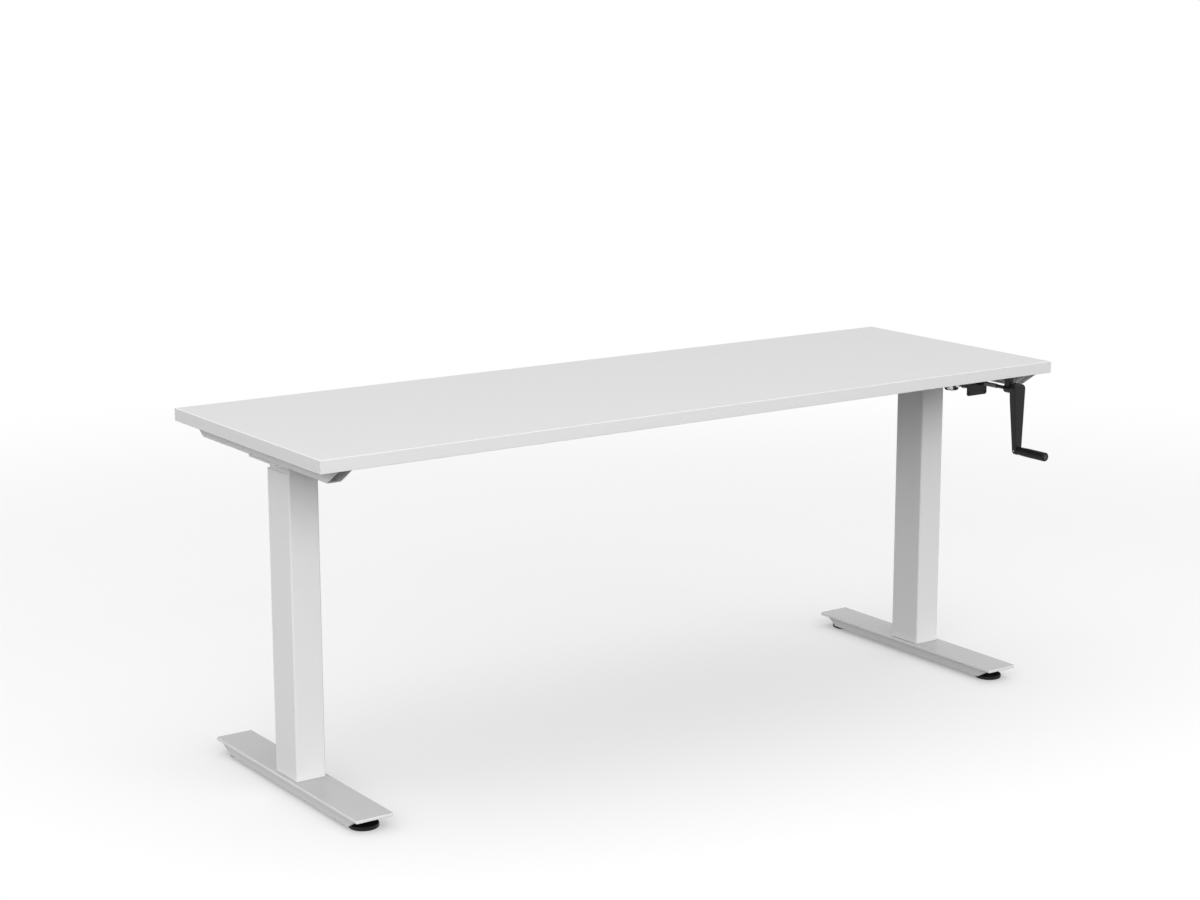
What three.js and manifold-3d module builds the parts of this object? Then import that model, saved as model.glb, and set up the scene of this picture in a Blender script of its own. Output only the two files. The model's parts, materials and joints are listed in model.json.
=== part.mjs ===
// Sit-stand desk raised and lowered by a hand crank.
// Millimetres, +Z up. X runs along the desk, the user sits on the -Y side, Z = 0 is the floor.
// The desk is drawn in its lowest position.

import * as THREE from "three";
import { mergeVertices } from "three/addons/utils/BufferGeometryUtils.js";
import Module from "manifold-3d";

const wasm = await Module();
wasm.setup();

// Worktop
const worktopLength = 1800;
const worktopDepth = 600;
const worktopThickness = 25;
const worktopHeight = 717.8;
const edgeBandThickness = 2;
const edgeBandBevel = 0.8;
const glueLine = 0.1;

// Clearances between pieces that rest on each other, and between pieces that move past each other
const seatGap = 0.3;
const runningGap = 0.3;
const cutOverrun = 1;
const leastRadius = 0.5;

// Side bracket, an upward open channel under each end of the worktop
const bracketInset = 38;
const bracketWidth = 30;
const bracketHeight = 30;
const bracketWall = 2.5;
const bracketBend = 3;
const bracketFrontSetback = 6;
const bracketRearSetback = 1;
const bracketRake = 44.5;

// Head plate between the inner column and the bracket
const headPlateThickness = 4;
const headPlateDepth = 112;
const headPlateSetback = 1;
const headPlateLip = 2.5;
const headPlateCorner = 5;

// Cross rails between the two brackets
const crossRailWidth = 20;
const crossRailWall = 2;
const crossRailBend = 2.5;
const crossRailSpacing = 80;

// Telescopic column
const legInset = 103;
const legOffset = 8;
const outerColumnWidth = 63;
const outerColumnDepth = 88;
const outerColumnWall = 1.8;
const outerColumnRadius = 4;
const neckHeight = 24;
const linerWall = 1.2;
const linerLength = 150;
const linerSetback = 1;
const innerColumnWall = 2;
const innerColumnRadius = 3;
const innerColumnLift = 28.5;

// Foot
const footPlateLength = 584;
const footPlateWidth = 78;
const footPlateThickness = 6.5;
const footPlateBevel = 1.2;
const footPlateCorner = 2;
const footPlateOffset = 8;
const footRailFrontSetback = 16;
const footRailRearSetback = 28;
const footRailRake = 24;
const footRailWidth = 72;
const footRailHeight = 16.5;
const footRailWall = 3;
const floorClearance = 8;

// Levelling feet
const padSetback = 44;
const padRadius = 28.5;
const padHeight = 12;
const padEdgeHeight = 8;
const padBevel = 1.2;
const padHubRadius = 12;
const stemRadius = 5;
const stemBossRadius = 9;

// Shaft line of the legs, below the head plate, and the hexagonal bar that runs along it
const shaftDrop = 18;
const hexAcrossFlats = 7;

// Bevel gears, two to one, at the top of each spindle
const bevelModule = 1.25;
const pinionTeeth = 12;
const spindleGearTeeth = 24;
const bevelFaceWidth = 5.4;
const bevelBacklash = 0.16;
const rootFlare = 0.1;
const pressureAngle = THREE.MathUtils.degToRad(25);
const stubAddendumShare = 0.8;
const dedendumShare = 1.1;
const journalRadius = 5.8;
const gearHubRadius = 9;
const pinionSocketStart = 17.5;
const shaftWindowRadius = 5.6;

// Bevel housing inside the inner column
const housingTopGap = 3;
const housingFloor = 14;
const housingCavity = 41;
const housingCavityDepth = 30;
const housingCavityCorner = 3;

// Spindle and nut
const spindleRadius = 7;
const spindleJournalRadius = 6;
const spindleCollarRadius = 11;
const spindleCollarHeight = 5.5;
const spindleLift = 68;
const nutRadius = 14;
const nutHeight = 30;
const nutDrop = 5;
const nutSpigot = 10;
const nutTubeRadius = 12;
const nutTubeWall = 2;
const nutBaseWidth = 48;
const nutBaseDepth = 68;
const nutBaseThickness = 6;
const nutBaseCorner = 4;

// Gearbox under the worktop
const crankOffset = 10;
const crankAxisDrop = 25.8;
const gearboxWidth = 58;
const gearboxDepth = 27.2;
const gearboxBodyHeight = 37.5;
const gearboxWall = 3;
const gearPocketGap = 0.7;
const gearboxBackWall = 8;
const gearboxLobeDepth = 23;
const gearboxCoverThickness = 3.2;
const gearboxCoverHeight = 55.2;
const gearboxCoverCorner = 5;
const spurModule = 1;
const spurTeeth = 15;
const spurWidth = 10;
const spurBacklash = 0.16;
const outputShaftRadius = 4.5;

// Universal joints and the short shaft between them
const inputJointReach = 58.5;
const jointSpan = 51.5;
const yokeRadius = 9;
const earInside = 6.3;
const earHalfWidth = 3.7;
const earEnd = 5.6;
const forkDepth = 9;
const yokeHubLength = 5;
const yokeSocketDepth = 4;
const spiderBlock = 8;
const spiderPinRadius = 1.5;
const spiderPinReach = 8;
const jointShaftRadius = 4;
const slotFreeplay = 0.25;

// Crank
const armClearance = 2.5;
const armTopThickness = 19.5;
const armTipThickness = 12;
const armShoulder = 22;
const armTopWidth = 31.6;
const armTopHeight = 14;
const armCorner = 11;
const armTipRadius = 9.5;
const crankRadius = 132.5;
const armBossRadius = 11;
const armSocketFloor = 5;
const gripLength = 82;
const gripRootRadius = 8.5;
const gripEndRadius = 9.7;
const gripTaperShare = 0.25;
const gripRounding = 3;
const gripPinRadius = 4;
const gripPinThreadRadius = 3;
const gripPinHeadRadius = 5.5;
const gripPinHeadHeight = 3;
const gripPinRecess = 1.5;
const gripPinTail = 1.5;

// Hanger that carries the front end of the crank shaft
const hangerSetback = 0.5;
const hangerPostSetback = 7;
const hangerWidth = 14;
const hangerDepth = 15;
const hangerBarrelRadius = 9.5;
const hangerBarrelLength = 22;
const hangerFlangeLength = 46;
const hangerFlangeDepth = 26;
const hangerFlangeThickness = 3;
const hangerFlangeCorner = 4;
const bushWall = 2;
const collarRadius = 6.3;
const collarLength = 25;

// Number of straight facets
const roundSides = 24;
const smallSides = 16;
const cornerSteps = 2;
const armSteps = 6;
const earSteps = 3;
const pinionFlankSteps = 2;
const wheelFlankSteps = 1;

// Levels and places that follow from the sizes
const undersideZ = worktopHeight - worktopThickness;
const frameTopZ = undersideZ - seatGap;
const bracketBottomZ = frameTopZ - bracketHeight;
const headPlateTopZ = bracketBottomZ - seatGap;
const headPlateBottomZ = headPlateTopZ - headPlateThickness;
const shaftZ = headPlateBottomZ - shaftDrop;
const outerColumnTopZ = headPlateBottomZ - neckHeight;
const footRailTopZ = floorClearance + footRailHeight;
const footPlateBottomZ = footRailTopZ + seatGap;
const footTopZ = footPlateBottomZ + footPlateThickness;
const footRailLength = footPlateLength - footRailFrontSetback - footRailRearSetback - 2 * footRailRake;
const footRailOffset = footPlateOffset + (footRailFrontSetback - footRailRearSetback) / 2;
const padSpacing = footPlateLength - 2 * padSetback;
const legX = worktopLength / 2 - legInset;
const frontEdgeY = -worktopDepth / 2;
const bracketLength = worktopDepth - bracketFrontSetback - bracketRearSetback;
const bracketOffset = (bracketFrontSetback - bracketRearSetback) / 2;
const hexRadius = hexAcrossFlats / Math.sqrt(3);
const hexSocketRadius = (hexAcrossFlats + 2 * seatGap) / Math.sqrt(3);
const innerColumnInset = outerColumnWall + linerWall + 2 * runningGap;
const innerColumnWidth = outerColumnWidth - 2 * innerColumnInset;
const innerColumnDepth = outerColumnDepth - 2 * innerColumnInset;
const innerColumnTopZ = headPlateBottomZ - seatGap;
const innerColumnBottomZ = footTopZ + innerColumnLift;
const housingFloorZ = innerColumnTopZ - housingTopGap - housingCavityDepth - housingFloor;
const collarBottomZ = housingFloorZ - runningGap - spindleCollarHeight;
const nutBottomZ = collarBottomZ - nutDrop - nutHeight;
const pinionPitchRadius = bevelModule * pinionTeeth / 2;
const spindleGearPitchRadius = bevelModule * spindleGearTeeth / 2;
const coneDistance = Math.hypot(pinionPitchRadius, spindleGearPitchRadius);
const crankX = legX - crankOffset;
const crankZ = undersideZ - crankAxisDrop;
const rearJointY = legOffset - outerColumnDepth / 2 - inputJointReach;
const frontJointY = rearJointY - jointSpan;
const yokeLength = forkDepth + yokeHubLength;
const gearboxBackY = frontJointY - yokeLength - seatGap;
const gearboxFrontY = gearboxBackY - gearboxDepth;
const spurLean = Math.asin(crankOffset / (spurModule * spurTeeth));
const outputDrop = spurModule * spurTeeth * Math.cos(spurLean);
const outputZ = crankZ - outputDrop;
const armFrontY = frontEdgeY - armClearance - armTopThickness;
const gripEndY = armFrontY - runningGap - gripLength;

// Finishes
const finish = (color, roughness, metalness) => {
  return new THREE.MeshStandardMaterial({ color, roughness, metalness });
};
const whiteBoard = finish(0xe4e4e4, 0.55, 0);
const whiteEdge = finish(0xe0e0e0, 0.5, 0);
const whiteCoat = finish(0xf0f0f0, 0.35, 0);
const blackCoat = finish(0x222222, 0.5, 0);
const blackPlastic = finish(0x181818, 0.6, 0);
const brightSteel = finish(0xb8babc, 0.3, 0.9);
const darkSteel = finish(0x3a3a3c, 0.4, 0.8);
const bronze = finish(0xa9864e, 0.4, 0.8);
const palePlastic = finish(0xd8d6cc, 0.5, 0);

// Closed solid of a three.js geometry, ready for cutting and joining
function solidOf(geometry) {
  const bare = geometry.clone();
  bare.deleteAttribute("normal");
  bare.deleteAttribute("uv");
  const merged = mergeVertices(bare);
  const index = merged.index.array;
  const triangles = [];
  for (let i = 0; i < index.length; i += 3) {
    const [a, b, c] = [index[i], index[i + 1], index[i + 2]];
    if (a !== b && b !== c && c !== a) triangles.push(a, b, c);
  }
  const vertProperties = new Float32Array(merged.attributes.position.array);
  const triVerts = new Uint32Array(triangles);
  return new wasm.Manifold(new wasm.Mesh({ numProp: 3, vertProperties, triVerts }));
}

function geometryOf(solid) {
  const mesh = solid.getMesh();
  const geometry = new THREE.BufferGeometry();
  geometry.setAttribute("position", new THREE.BufferAttribute(mesh.vertProperties, 3));
  geometry.setIndex(new THREE.BufferAttribute(mesh.triVerts, 1));
  return geometry;
}

function join(...geometries) {
  return geometryOf(geometries.map(solidOf).reduce((whole, next) => whole.add(next)));
}

function cut(base, ...tools) {
  return geometryOf(tools.map(solidOf).reduce((rest, tool) => rest.subtract(tool), solidOf(base)));
}

function common(first, second) {
  return geometryOf(solidOf(first).intersect(solidOf(second)));
}

// Box between two corners
function block(x0, x1, y0, y1, z0, z1) {
  const geometry = new THREE.BoxGeometry(x1 - x0, y1 - y0, z1 - z0);
  return geometry.translate((x0 + x1) / 2, (y0 + y1) / 2, (z0 + z1) / 2);
}

// Outline drawn in the plane square to an axis and extruded along it. Outlines are drawn in
// (y, z) for the X axis, (x, z) for the Y axis and (x, y) for the Z axis.
function extrude(outline, axis, start, end, curveSegments = cornerSteps) {
  const geometry = new THREE.ExtrudeGeometry(outline, {
    depth: end - start,
    bevelEnabled: false,
    curveSegments,
  });
  const basis = new THREE.Matrix4();
  if (axis === "x") {
    basis.makeBasis(unitY, unitZ, unitX);
    basis.setPosition(start, 0, 0);
  } else if (axis === "y") {
    basis.makeBasis(unitX, unitZ, unitY.clone().negate());
    basis.setPosition(0, end, 0);
  } else {
    basis.setPosition(0, 0, start);
  }
  return geometry.applyMatrix4(basis);
}

const unitX = new THREE.Vector3(1, 0, 0);
const unitY = new THREE.Vector3(0, 1, 0);
const unitZ = new THREE.Vector3(0, 0, 1);

// Round or many sided bar along an axis, through the point given for the other two directions
function bar(radius, axis, start, end, sides = roundSides) {
  const geometry = new THREE.CylinderGeometry(radius, radius, end - start, sides);
  geometry.translate(0, (start + end) / 2, 0);
  if (axis === "x") return geometry.rotateZ(-Math.PI / 2);
  return axis === "z" ? geometry.rotateX(Math.PI / 2) : geometry;
}

// Turned piece from a profile of [radius, height] points, with its axis along Y or Z
function turned(profile, axis, sides = roundSides) {
  const points = profile.map(([radius, height]) => new THREE.Vector2(radius, height));
  const geometry = new THREE.LatheGeometry(points, sides);
  return axis === "z" ? geometry.rotateX(Math.PI / 2) : geometry;
}

function roundedRect(width, height, radius, centreX = 0, centreY = 0) {
  const [x, y] = [width / 2, height / 2];
  const outline = new THREE.Shape();
  outline.absarc(centreX + x - radius, centreY - y + radius, radius, -Math.PI / 2, 0);
  outline.absarc(centreX + x - radius, centreY + y - radius, radius, 0, Math.PI / 2);
  outline.absarc(centreX - x + radius, centreY + y - radius, radius, Math.PI / 2, Math.PI);
  outline.absarc(centreX - x + radius, centreY - y + radius, radius, Math.PI, 1.5 * Math.PI);
  return outline;
}

function polygon(points) {
  return new THREE.Shape(points.map(([x, y]) => new THREE.Vector2(x, y)));
}

// Rectangular tube outline with rounded corners inside and outside
function tubeOutline(width, height, wall, radius) {
  const outline = roundedRect(width, height, radius);
  const inside = Math.max(radius - wall, leastRadius);
  outline.holes.push(roundedRect(width - 2 * wall, height - 2 * wall, inside));
  return outline;
}

// Outline with two slanted ends, longer at the top than at the bottom
function slantedOutline(bottomLength, rake, bottom, top) {
  const half = bottomLength / 2;
  return polygon([[-half, bottom], [half, bottom], [half + rake, top], [-half - rake, top]]);
}

function piece(name, geometry, material, x = 0, y = 0, z = 0) {
  const mesh = new THREE.Mesh(geometry, material);
  mesh.name = name;
  mesh.position.set(x, y, z);
  return mesh;
}

// Worktop: a faced board with an edge band glued on each side
function addWorktop(parent) {
  const middleZ = worktopHeight - worktopThickness / 2;
  const bandSpace = edgeBandThickness + glueLine;
  const boardLength = worktopLength - 2 * bandSpace;
  const boardDepth = worktopDepth - 2 * bandSpace;
  const board = new THREE.BoxGeometry(boardLength, boardDepth, worktopThickness);
  parent.add(piece("worktop_board", board, whiteBoard, 0, 0, middleZ));
  const [half, bevel] = [worktopThickness / 2, edgeBandBevel];
  const section = (side) => polygon([
    [0, -half],
    [side * (edgeBandThickness - bevel), -half],
    [side * edgeBandThickness, bevel - half],
    [side * edgeBandThickness, half - bevel],
    [side * (edgeBandThickness - bevel), half],
    [0, half],
  ]);
  for (const [name, side] of [["front", -1], ["rear", 1]]) {
    const band = extrude(section(side), "x", -worktopLength / 2, worktopLength / 2);
    const y = side * (worktopDepth / 2 - edgeBandThickness);
    parent.add(piece(`${name}_edge_band`, band, whiteEdge, 0, y, middleZ));
  }
  const shortHalf = worktopDepth / 2 - bandSpace;
  for (const [name, side] of [["left", -1], ["right", 1]]) {
    const band = extrude(section(side), "y", -shortHalf, shortHalf);
    const x = side * (worktopLength / 2 - edgeBandThickness);
    parent.add(piece(`${name}_edge_band`, band, whiteEdge, x, 0, middleZ));
  }
}

// Side bracket: a folded channel, open at the top, with both ends cut at a slant
function bracketGeometry() {
  const half = bracketWidth / 2;
  const inner = Math.max(bracketBend - bracketWall, leastRadius);
  const outline = new THREE.Shape();
  outline.moveTo(-half, bracketHeight);
  outline.absarc(-half + bracketBend, bracketBend, bracketBend, Math.PI, 1.5 * Math.PI);
  outline.absarc(half - bracketBend, bracketBend, bracketBend, 1.5 * Math.PI, 2 * Math.PI);
  outline.lineTo(half, bracketHeight);
  outline.lineTo(half - bracketWall, bracketHeight);
  const floor = bracketWall + inner;
  outline.absarc(half - floor, floor, inner, 2 * Math.PI, 1.5 * Math.PI, true);
  outline.absarc(-half + floor, floor, inner, 1.5 * Math.PI, Math.PI, true);
  outline.lineTo(-half + bracketWall, bracketHeight);
  const channel = extrude(outline, "y", -bracketLength / 2, bracketLength / 2);
  const ends = slantedOutline(bracketLength - 2 * bracketRake, bracketRake, 0, bracketHeight);
  return common(channel, extrude(ends, "x", -half - cutOverrun, half + cutOverrun));
}

// Upper frame: brackets, head plates and the rails that tie the two legs together
function addUpperFrame(parent) {
  const bracketX = worktopLength / 2 - bracketInset - bracketWidth / 2;
  const bracket = bracketGeometry();
  const plateOuter = worktopLength / 2 - bracketInset - headPlateSetback - legX;
  const plateInner = outerColumnWidth / 2 + headPlateLip;
  for (const [name, side] of [["left", -1], ["right", 1]]) {
    const bracketPlace = [side * bracketX, bracketOffset, bracketBottomZ];
    parent.add(piece(`${name}_side_bracket`, bracket, whiteCoat, ...bracketPlace));
    const middle = side * (plateOuter - plateInner) / 2;
    const plate = roundedRect(plateOuter + plateInner, headPlateDepth, headPlateCorner, middle, 0);
    const headPlate = extrude(plate, "z", 0, headPlateThickness);
    parent.add(piece(`${name}_head_plate`, headPlate, whiteCoat, side * legX, legOffset, headPlateBottomZ));
  }
  const railHalf = bracketX - bracketWidth / 2 - seatGap;
  const railHeight = bracketHeight;
  const section = tubeOutline(crossRailWidth, railHeight, crossRailWall, crossRailBend);
  const rail = extrude(section, "x", -railHalf, railHalf);
  for (const [name, side] of [["front", -1], ["rear", 1]]) {
    const y = legOffset + side * crossRailSpacing / 2;
    parent.add(piece(`${name}_cross_rail`, rail, whiteCoat, 0, y, bracketBottomZ + railHeight / 2));
  }
}

// Foot rail: a channel, open below, with slanted ends and a threaded boss for each levelling foot
function footRailGeometry(bossPlaces) {
  const half = footRailWidth / 2;
  const outline = slantedOutline(footRailLength, footRailRake, floorClearance, footRailTopZ);
  const inside = block(
    footRailWall - half, half - footRailWall,
    -footRailLength, footRailLength,
    0, footRailTopZ - footRailWall,
  );
  const channel = cut(extrude(outline, "x", -half, half), inside);
  const bosses = bossPlaces.map((y) => {
    return bar(stemBossRadius, "z", padHeight + seatGap, footRailTopZ - seatGap).translate(0, y, 0);
  });
  const holes = bossPlaces.map((y) => {
    return bar(stemRadius + seatGap, "z", 0, footRailTopZ + cutOverrun, smallSides).translate(0, y, 0);
  });
  return cut(join(channel, ...bosses), ...holes);
}

// Levelling foot: a moulded pad on a threaded stem
function levellingFootGeometry() {
  return turned([
    [0, 0],
    [padRadius - padBevel, 0],
    [padRadius, padBevel],
    [padRadius, padEdgeHeight],
    [padHubRadius, padHeight],
    [stemRadius, padHeight],
    [stemRadius, footRailTopZ - seatGap],
    [0, footRailTopZ - seatGap],
  ], "z");
}

function footPlateGeometry() {
  const outline = roundedRect(footPlateWidth, footPlateLength, footPlateCorner + footPlateBevel);
  const plate = new THREE.ExtrudeGeometry(outline, {
    depth: footPlateThickness - 2 * footPlateBevel,
    bevelThickness: footPlateBevel,
    bevelSize: footPlateBevel,
    bevelOffset: -footPlateBevel,
    bevelSegments: 1,
    curveSegments: cornerSteps,
  });
  return plate.translate(0, 0, footPlateBevel);
}

// Everything of one leg that stays on the floor
function addBase(leg, name) {
  const plateY = footPlateOffset - legOffset;
  const railY = footRailOffset - legOffset;
  const padY = [plateY - padSpacing / 2, plateY + padSpacing / 2];
  const railGeometry = footRailGeometry(padY.map((y) => y - railY));
  leg.add(piece(`${name}_foot_plate`, footPlateGeometry(), whiteCoat, 0, plateY, footPlateBottomZ));
  leg.add(piece(`${name}_foot_rail`, railGeometry, whiteCoat, 0, railY, 0));
  const foot = levellingFootGeometry();
  leg.add(piece(`${name}_front_levelling_foot`, foot, blackPlastic, 0, padY[0], 0));
  leg.add(piece(`${name}_rear_levelling_foot`, foot, blackPlastic, 0, padY[1], 0));

  const columnBottom = footTopZ + seatGap;
  const outer = tubeOutline(outerColumnWidth, outerColumnDepth, outerColumnWall, outerColumnRadius);
  leg.add(piece(`${name}_outer_column`, extrude(outer, "z", columnBottom, outerColumnTopZ), whiteCoat));

  const linerInset = outerColumnWall + runningGap;
  const linerRadius = Math.max(outerColumnRadius - linerInset, leastRadius);
  const liner = tubeOutline(
    outerColumnWidth - 2 * linerInset, outerColumnDepth - 2 * linerInset, linerWall, linerRadius,
  );
  const linerTop = outerColumnTopZ - linerSetback;
  const linerSleeve = extrude(liner, "z", linerTop - linerLength, linerTop);
  leg.add(piece(`${name}_guide_liner`, linerSleeve, palePlastic));

  leg.add(piece(`${name}_nut_tube`, nutTubeGeometry(columnBottom), darkSteel));
  leg.add(piece(`${name}_spindle_nut`, nutGeometry(), bronze, 0, 0, nutBottomZ));
}

// Nut tube: stands on a base plate inside the column and holds the nut at its top
function nutTubeGeometry(bottom) {
  const baseOutline = roundedRect(nutBaseWidth, nutBaseDepth, nutBaseCorner);
  const base = extrude(baseOutline, "z", bottom, bottom + nutBaseThickness);
  const tube = bar(nutTubeRadius, "z", bottom, nutBottomZ - seatGap, smallSides);
  const bore = bar(nutTubeRadius - nutTubeWall, "z", bottom - cutOverrun, nutBottomZ, smallSides);
  return cut(join(base, tube), bore);
}

// Spindle nut: a flanged bush whose spigot sits in the nut tube
function nutGeometry() {
  const bore = spindleRadius + runningGap;
  const spigot = nutTubeRadius - nutTubeWall - seatGap;
  return turned([
    [bore, -nutSpigot],
    [spigot, -nutSpigot],
    [spigot, 0],
    [nutRadius, 0],
    [nutRadius, nutHeight],
    [bore, nutHeight],
    [bore, -nutSpigot],
  ], "z", smallSides);
}

const involute = (angle) => Math.tan(angle) - angle;

// One tooth's outline as [radius, angle] pairs, from its root on one side to its root on the other,
// for a gear of a given pitch radius and whole or fractional number of teeth
function toothOutline(pitchRadius, teeth, toothModule, backlash, flankSteps) {
  const base = pitchRadius * Math.cos(pressureAngle);
  const root = pitchRadius - toothModule * dedendumShare;
  const tip = pitchRadius + toothModule * stubAddendumShare;
  const halfTooth = Math.PI / (2 * teeth) - backlash / (2 * pitchRadius);
  const angleAt = (radius) => {
    const slope = Math.acos(Math.min(1, base / radius));
    return halfTooth + involute(pressureAngle) - involute(slope);
  };
  const start = Math.max(base, root);
  const flank = [];
  if (root < base) flank.push([root, angleAt(base) + rootFlare / root]);
  for (let i = 0; i <= flankSteps; i++) {
    const radius = start + (tip - start) * i / flankSteps;
    flank.push([radius, angleAt(radius)]);
  }
  const mirrored = flank.map(([radius, angle]) => [radius, angle]).reverse();
  return [...flank.map(([radius, angle]) => [radius, -angle]), ...mirrored];
}

// Spur gear square to the Y axis, with a tooth on the line from the crank's axis to the output's
function spurGear(width, boreRadius, boreSides) {
  const pitchRadius = spurModule * spurTeeth / 2;
  const tooth = toothOutline(pitchRadius, spurTeeth, spurModule, spurBacklash, pinionFlankSteps);
  const points = [];
  for (let i = 0; i < spurTeeth; i++) {
    const middle = 2 * Math.PI * i / spurTeeth - Math.PI / 2 + spurLean;
    for (const [radius, angle] of tooth) {
      points.push([radius * Math.cos(middle + angle), radius * Math.sin(middle + angle)]);
    }
  }
  const gear = extrude(polygon(points), "y", 0, width);
  return cut(gear, bar(boreRadius, "y", -cutOverrun, width + cutOverrun, boreSides));
}

// Straight bevel gear. Its cones meet at the origin and it opens along +Z. The teeth are drawn on the
// back cone, then drawn together towards the origin. A tooth, or a gap, lies in the +X direction.
function bevelTeeth(teeth, mateTeeth, gapAtX) {
  const cone = Math.atan2(teeth, mateTeeth);
  const pitchRadius = bevelModule * teeth / 2;
  const backRadius = pitchRadius / Math.cos(cone);
  const backApex = coneDistance / Math.cos(cone);
  const flankSteps = teeth > mateTeeth ? wheelFlankSteps : pinionFlankSteps;
  const tooth = toothOutline(backRadius, teeth / Math.cos(cone), bevelModule, bevelBacklash, flankSteps);
  const smallEnd = 1 - bevelFaceWidth / coneDistance;
  const outline = [];
  for (let i = 0; i < teeth; i++) {
    const middle = 2 * Math.PI * (i + (gapAtX ? 0.5 : 0)) / teeth;
    for (const [slant, angle] of tooth) {
      const azimuth = middle + angle / Math.cos(cone);
      const radius = slant * Math.cos(cone);
      const height = backApex - slant * Math.sin(cone);
      outline.push([radius * Math.cos(azimuth), radius * Math.sin(azimuth), height]);
    }
  }
  const backHeight = Math.max(...outline.map((point) => point[2]));
  const vertices = [
    ...outline.flat(),
    ...outline.flat().map((value) => value * smallEnd),
    0, 0, backHeight,
    0, 0, backHeight * smallEnd,
  ];
  const count = outline.length;
  const index = [];
  for (let i = 0; i < count; i++) {
    const next = (i + 1) % count;
    index.push(i, count + next, next, i, count + i, count + next);
    index.push(2 * count, i, next, 2 * count + 1, count + next, count + i);
  }
  const geometry = new THREE.BufferGeometry();
  geometry.setAttribute("position", new THREE.Float32BufferAttribute(vertices, 3));
  geometry.setIndex(index);
  return geometry;
}

function addUpperLeg(leg, name, inward, hasInput) {
  const hollowWidth = innerColumnWidth - 2 * innerColumnWall;
  const hollowDepth = innerColumnDepth - 2 * innerColumnWall;
  const wallReach = innerColumnDepth;
  const section = tubeOutline(innerColumnWidth, innerColumnDepth, innerColumnWall, innerColumnRadius);
  const tube = extrude(section, "z", innerColumnBottomZ, innerColumnTopZ);
  const sideWindow = bar(shaftWindowRadius, "x", 0, wallReach, smallSides);
  if (inward < 0) sideWindow.translate(-wallReach, 0, 0);
  const frontWindow = bar(shaftWindowRadius, "y", -wallReach, 0, smallSides);
  const windows = hasInput ? [sideWindow, frontWindow] : [sideWindow];
  windows.forEach((window) => window.translate(0, 0, shaftZ));
  leg.add(piece(`${name}_inner_column`, cut(tube, ...windows), whiteCoat));

  const housingTopZ = innerColumnTopZ - housingTopGap;
  const cavityFloorZ = housingTopZ - housingCavityDepth;
  const corner = Math.max(innerColumnRadius - innerColumnWall, leastRadius);
  const outline = roundedRect(hollowWidth - 2 * seatGap, hollowDepth - 2 * seatGap, corner);
  const casting = extrude(outline, "z", housingFloorZ, housingTopZ);
  const cavityOutline = roundedRect(housingCavity, housingCavity, housingCavityCorner);
  const cavity = extrude(cavityOutline, "z", cavityFloorZ, housingTopZ + cutOverrun);
  const spindleBore = bar(
    spindleJournalRadius + runningGap, "z",
    housingFloorZ - cutOverrun, cavityFloorZ + cutOverrun, smallSides,
  );
  const boreRadius = journalRadius + runningGap;
  const sideBore = bar(boreRadius, "x", 0, hollowWidth, smallSides);
  if (inward < 0) sideBore.translate(-hollowWidth, 0, 0);
  const frontBore = bar(boreRadius, "y", -hollowDepth, 0, smallSides);
  const bores = hasInput ? [sideBore, frontBore] : [sideBore];
  bores.forEach((bore) => bore.translate(0, 0, shaftZ));
  leg.add(piece(`${name}_bevel_housing`, cut(casting, cavity, spindleBore, ...bores), darkSteel));

  const wheel = bevelTeeth(spindleGearTeeth, pinionTeeth, false);
  const hubLength = shaftZ - cavityFloorZ - runningGap;
  const hub = bar(gearHubRadius, "z", pinionPitchRadius, hubLength, smallSides);
  const gearBore = bar(spindleJournalRadius + seatGap, "z", 0, hubLength + cutOverrun, smallSides);
  const gear = piece(`${name}_spindle_gear`, cut(join(wheel, hub), gearBore), darkSteel, 0, 0, shaftZ);
  aim(gear, unitX, unitY.clone().negate(), unitZ.clone().negate());
  leg.add(gear);

  const spindleBottomZ = footTopZ + spindleLift;
  const spindle = turned([
    [0, spindleBottomZ],
    [spindleRadius, spindleBottomZ],
    [spindleRadius, collarBottomZ],
    [spindleCollarRadius, collarBottomZ],
    [spindleCollarRadius, collarBottomZ + spindleCollarHeight],
    [spindleJournalRadius, collarBottomZ + spindleCollarHeight],
    [spindleJournalRadius, shaftZ - pinionPitchRadius],
    [0, shaftZ - pinionPitchRadius],
  ], "z", smallSides);
  leg.add(piece(`${name}_spindle`, spindle, brightSteel));
}

// Pinion with a journal behind its teeth and a hexagonal socket for the bar that drives it
function pinionGeometry() {
  const journalEnd = innerColumnWidth / 2 - innerColumnWall - seatGap;
  const teeth = bevelTeeth(pinionTeeth, spindleGearTeeth, true);
  const journal = bar(journalRadius, "z", spindleGearPitchRadius, journalEnd, smallSides);
  const socket = bar(hexSocketRadius, "z", pinionSocketStart, journalEnd + cutOverrun, 6);
  return cut(join(teeth, journal), socket.rotateZ(Math.PI / 6));
}

// Turns a piece so that its own X, Y and Z point in three square directions
function aim(mesh, x, y, z) {
  mesh.quaternion.setFromRotationMatrix(new THREE.Matrix4().makeBasis(x, y, z));
}

// Cross shaft from leg to leg, with a pinion on each end
function addCrossShaft(parent) {
  const end = legX - pinionSocketStart - seatGap;
  parent.add(piece("cross_shaft", bar(hexRadius, "x", -end, end, 6), brightSteel, 0, legOffset, shaftZ));
  const pinion = pinionGeometry();
  const down = unitZ.clone().negate();
  for (const [name, side] of [["left", -1], ["right", 1]]) {
    const mesh = piece(`${name}_cross_pinion`, pinion, darkSteel, side * legX, legOffset, shaftZ);
    const inward = unitX.clone().multiplyScalar(-side);
    aim(mesh, down, inward.clone().cross(down), inward);
    parent.add(mesh);
  }
}

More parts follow.
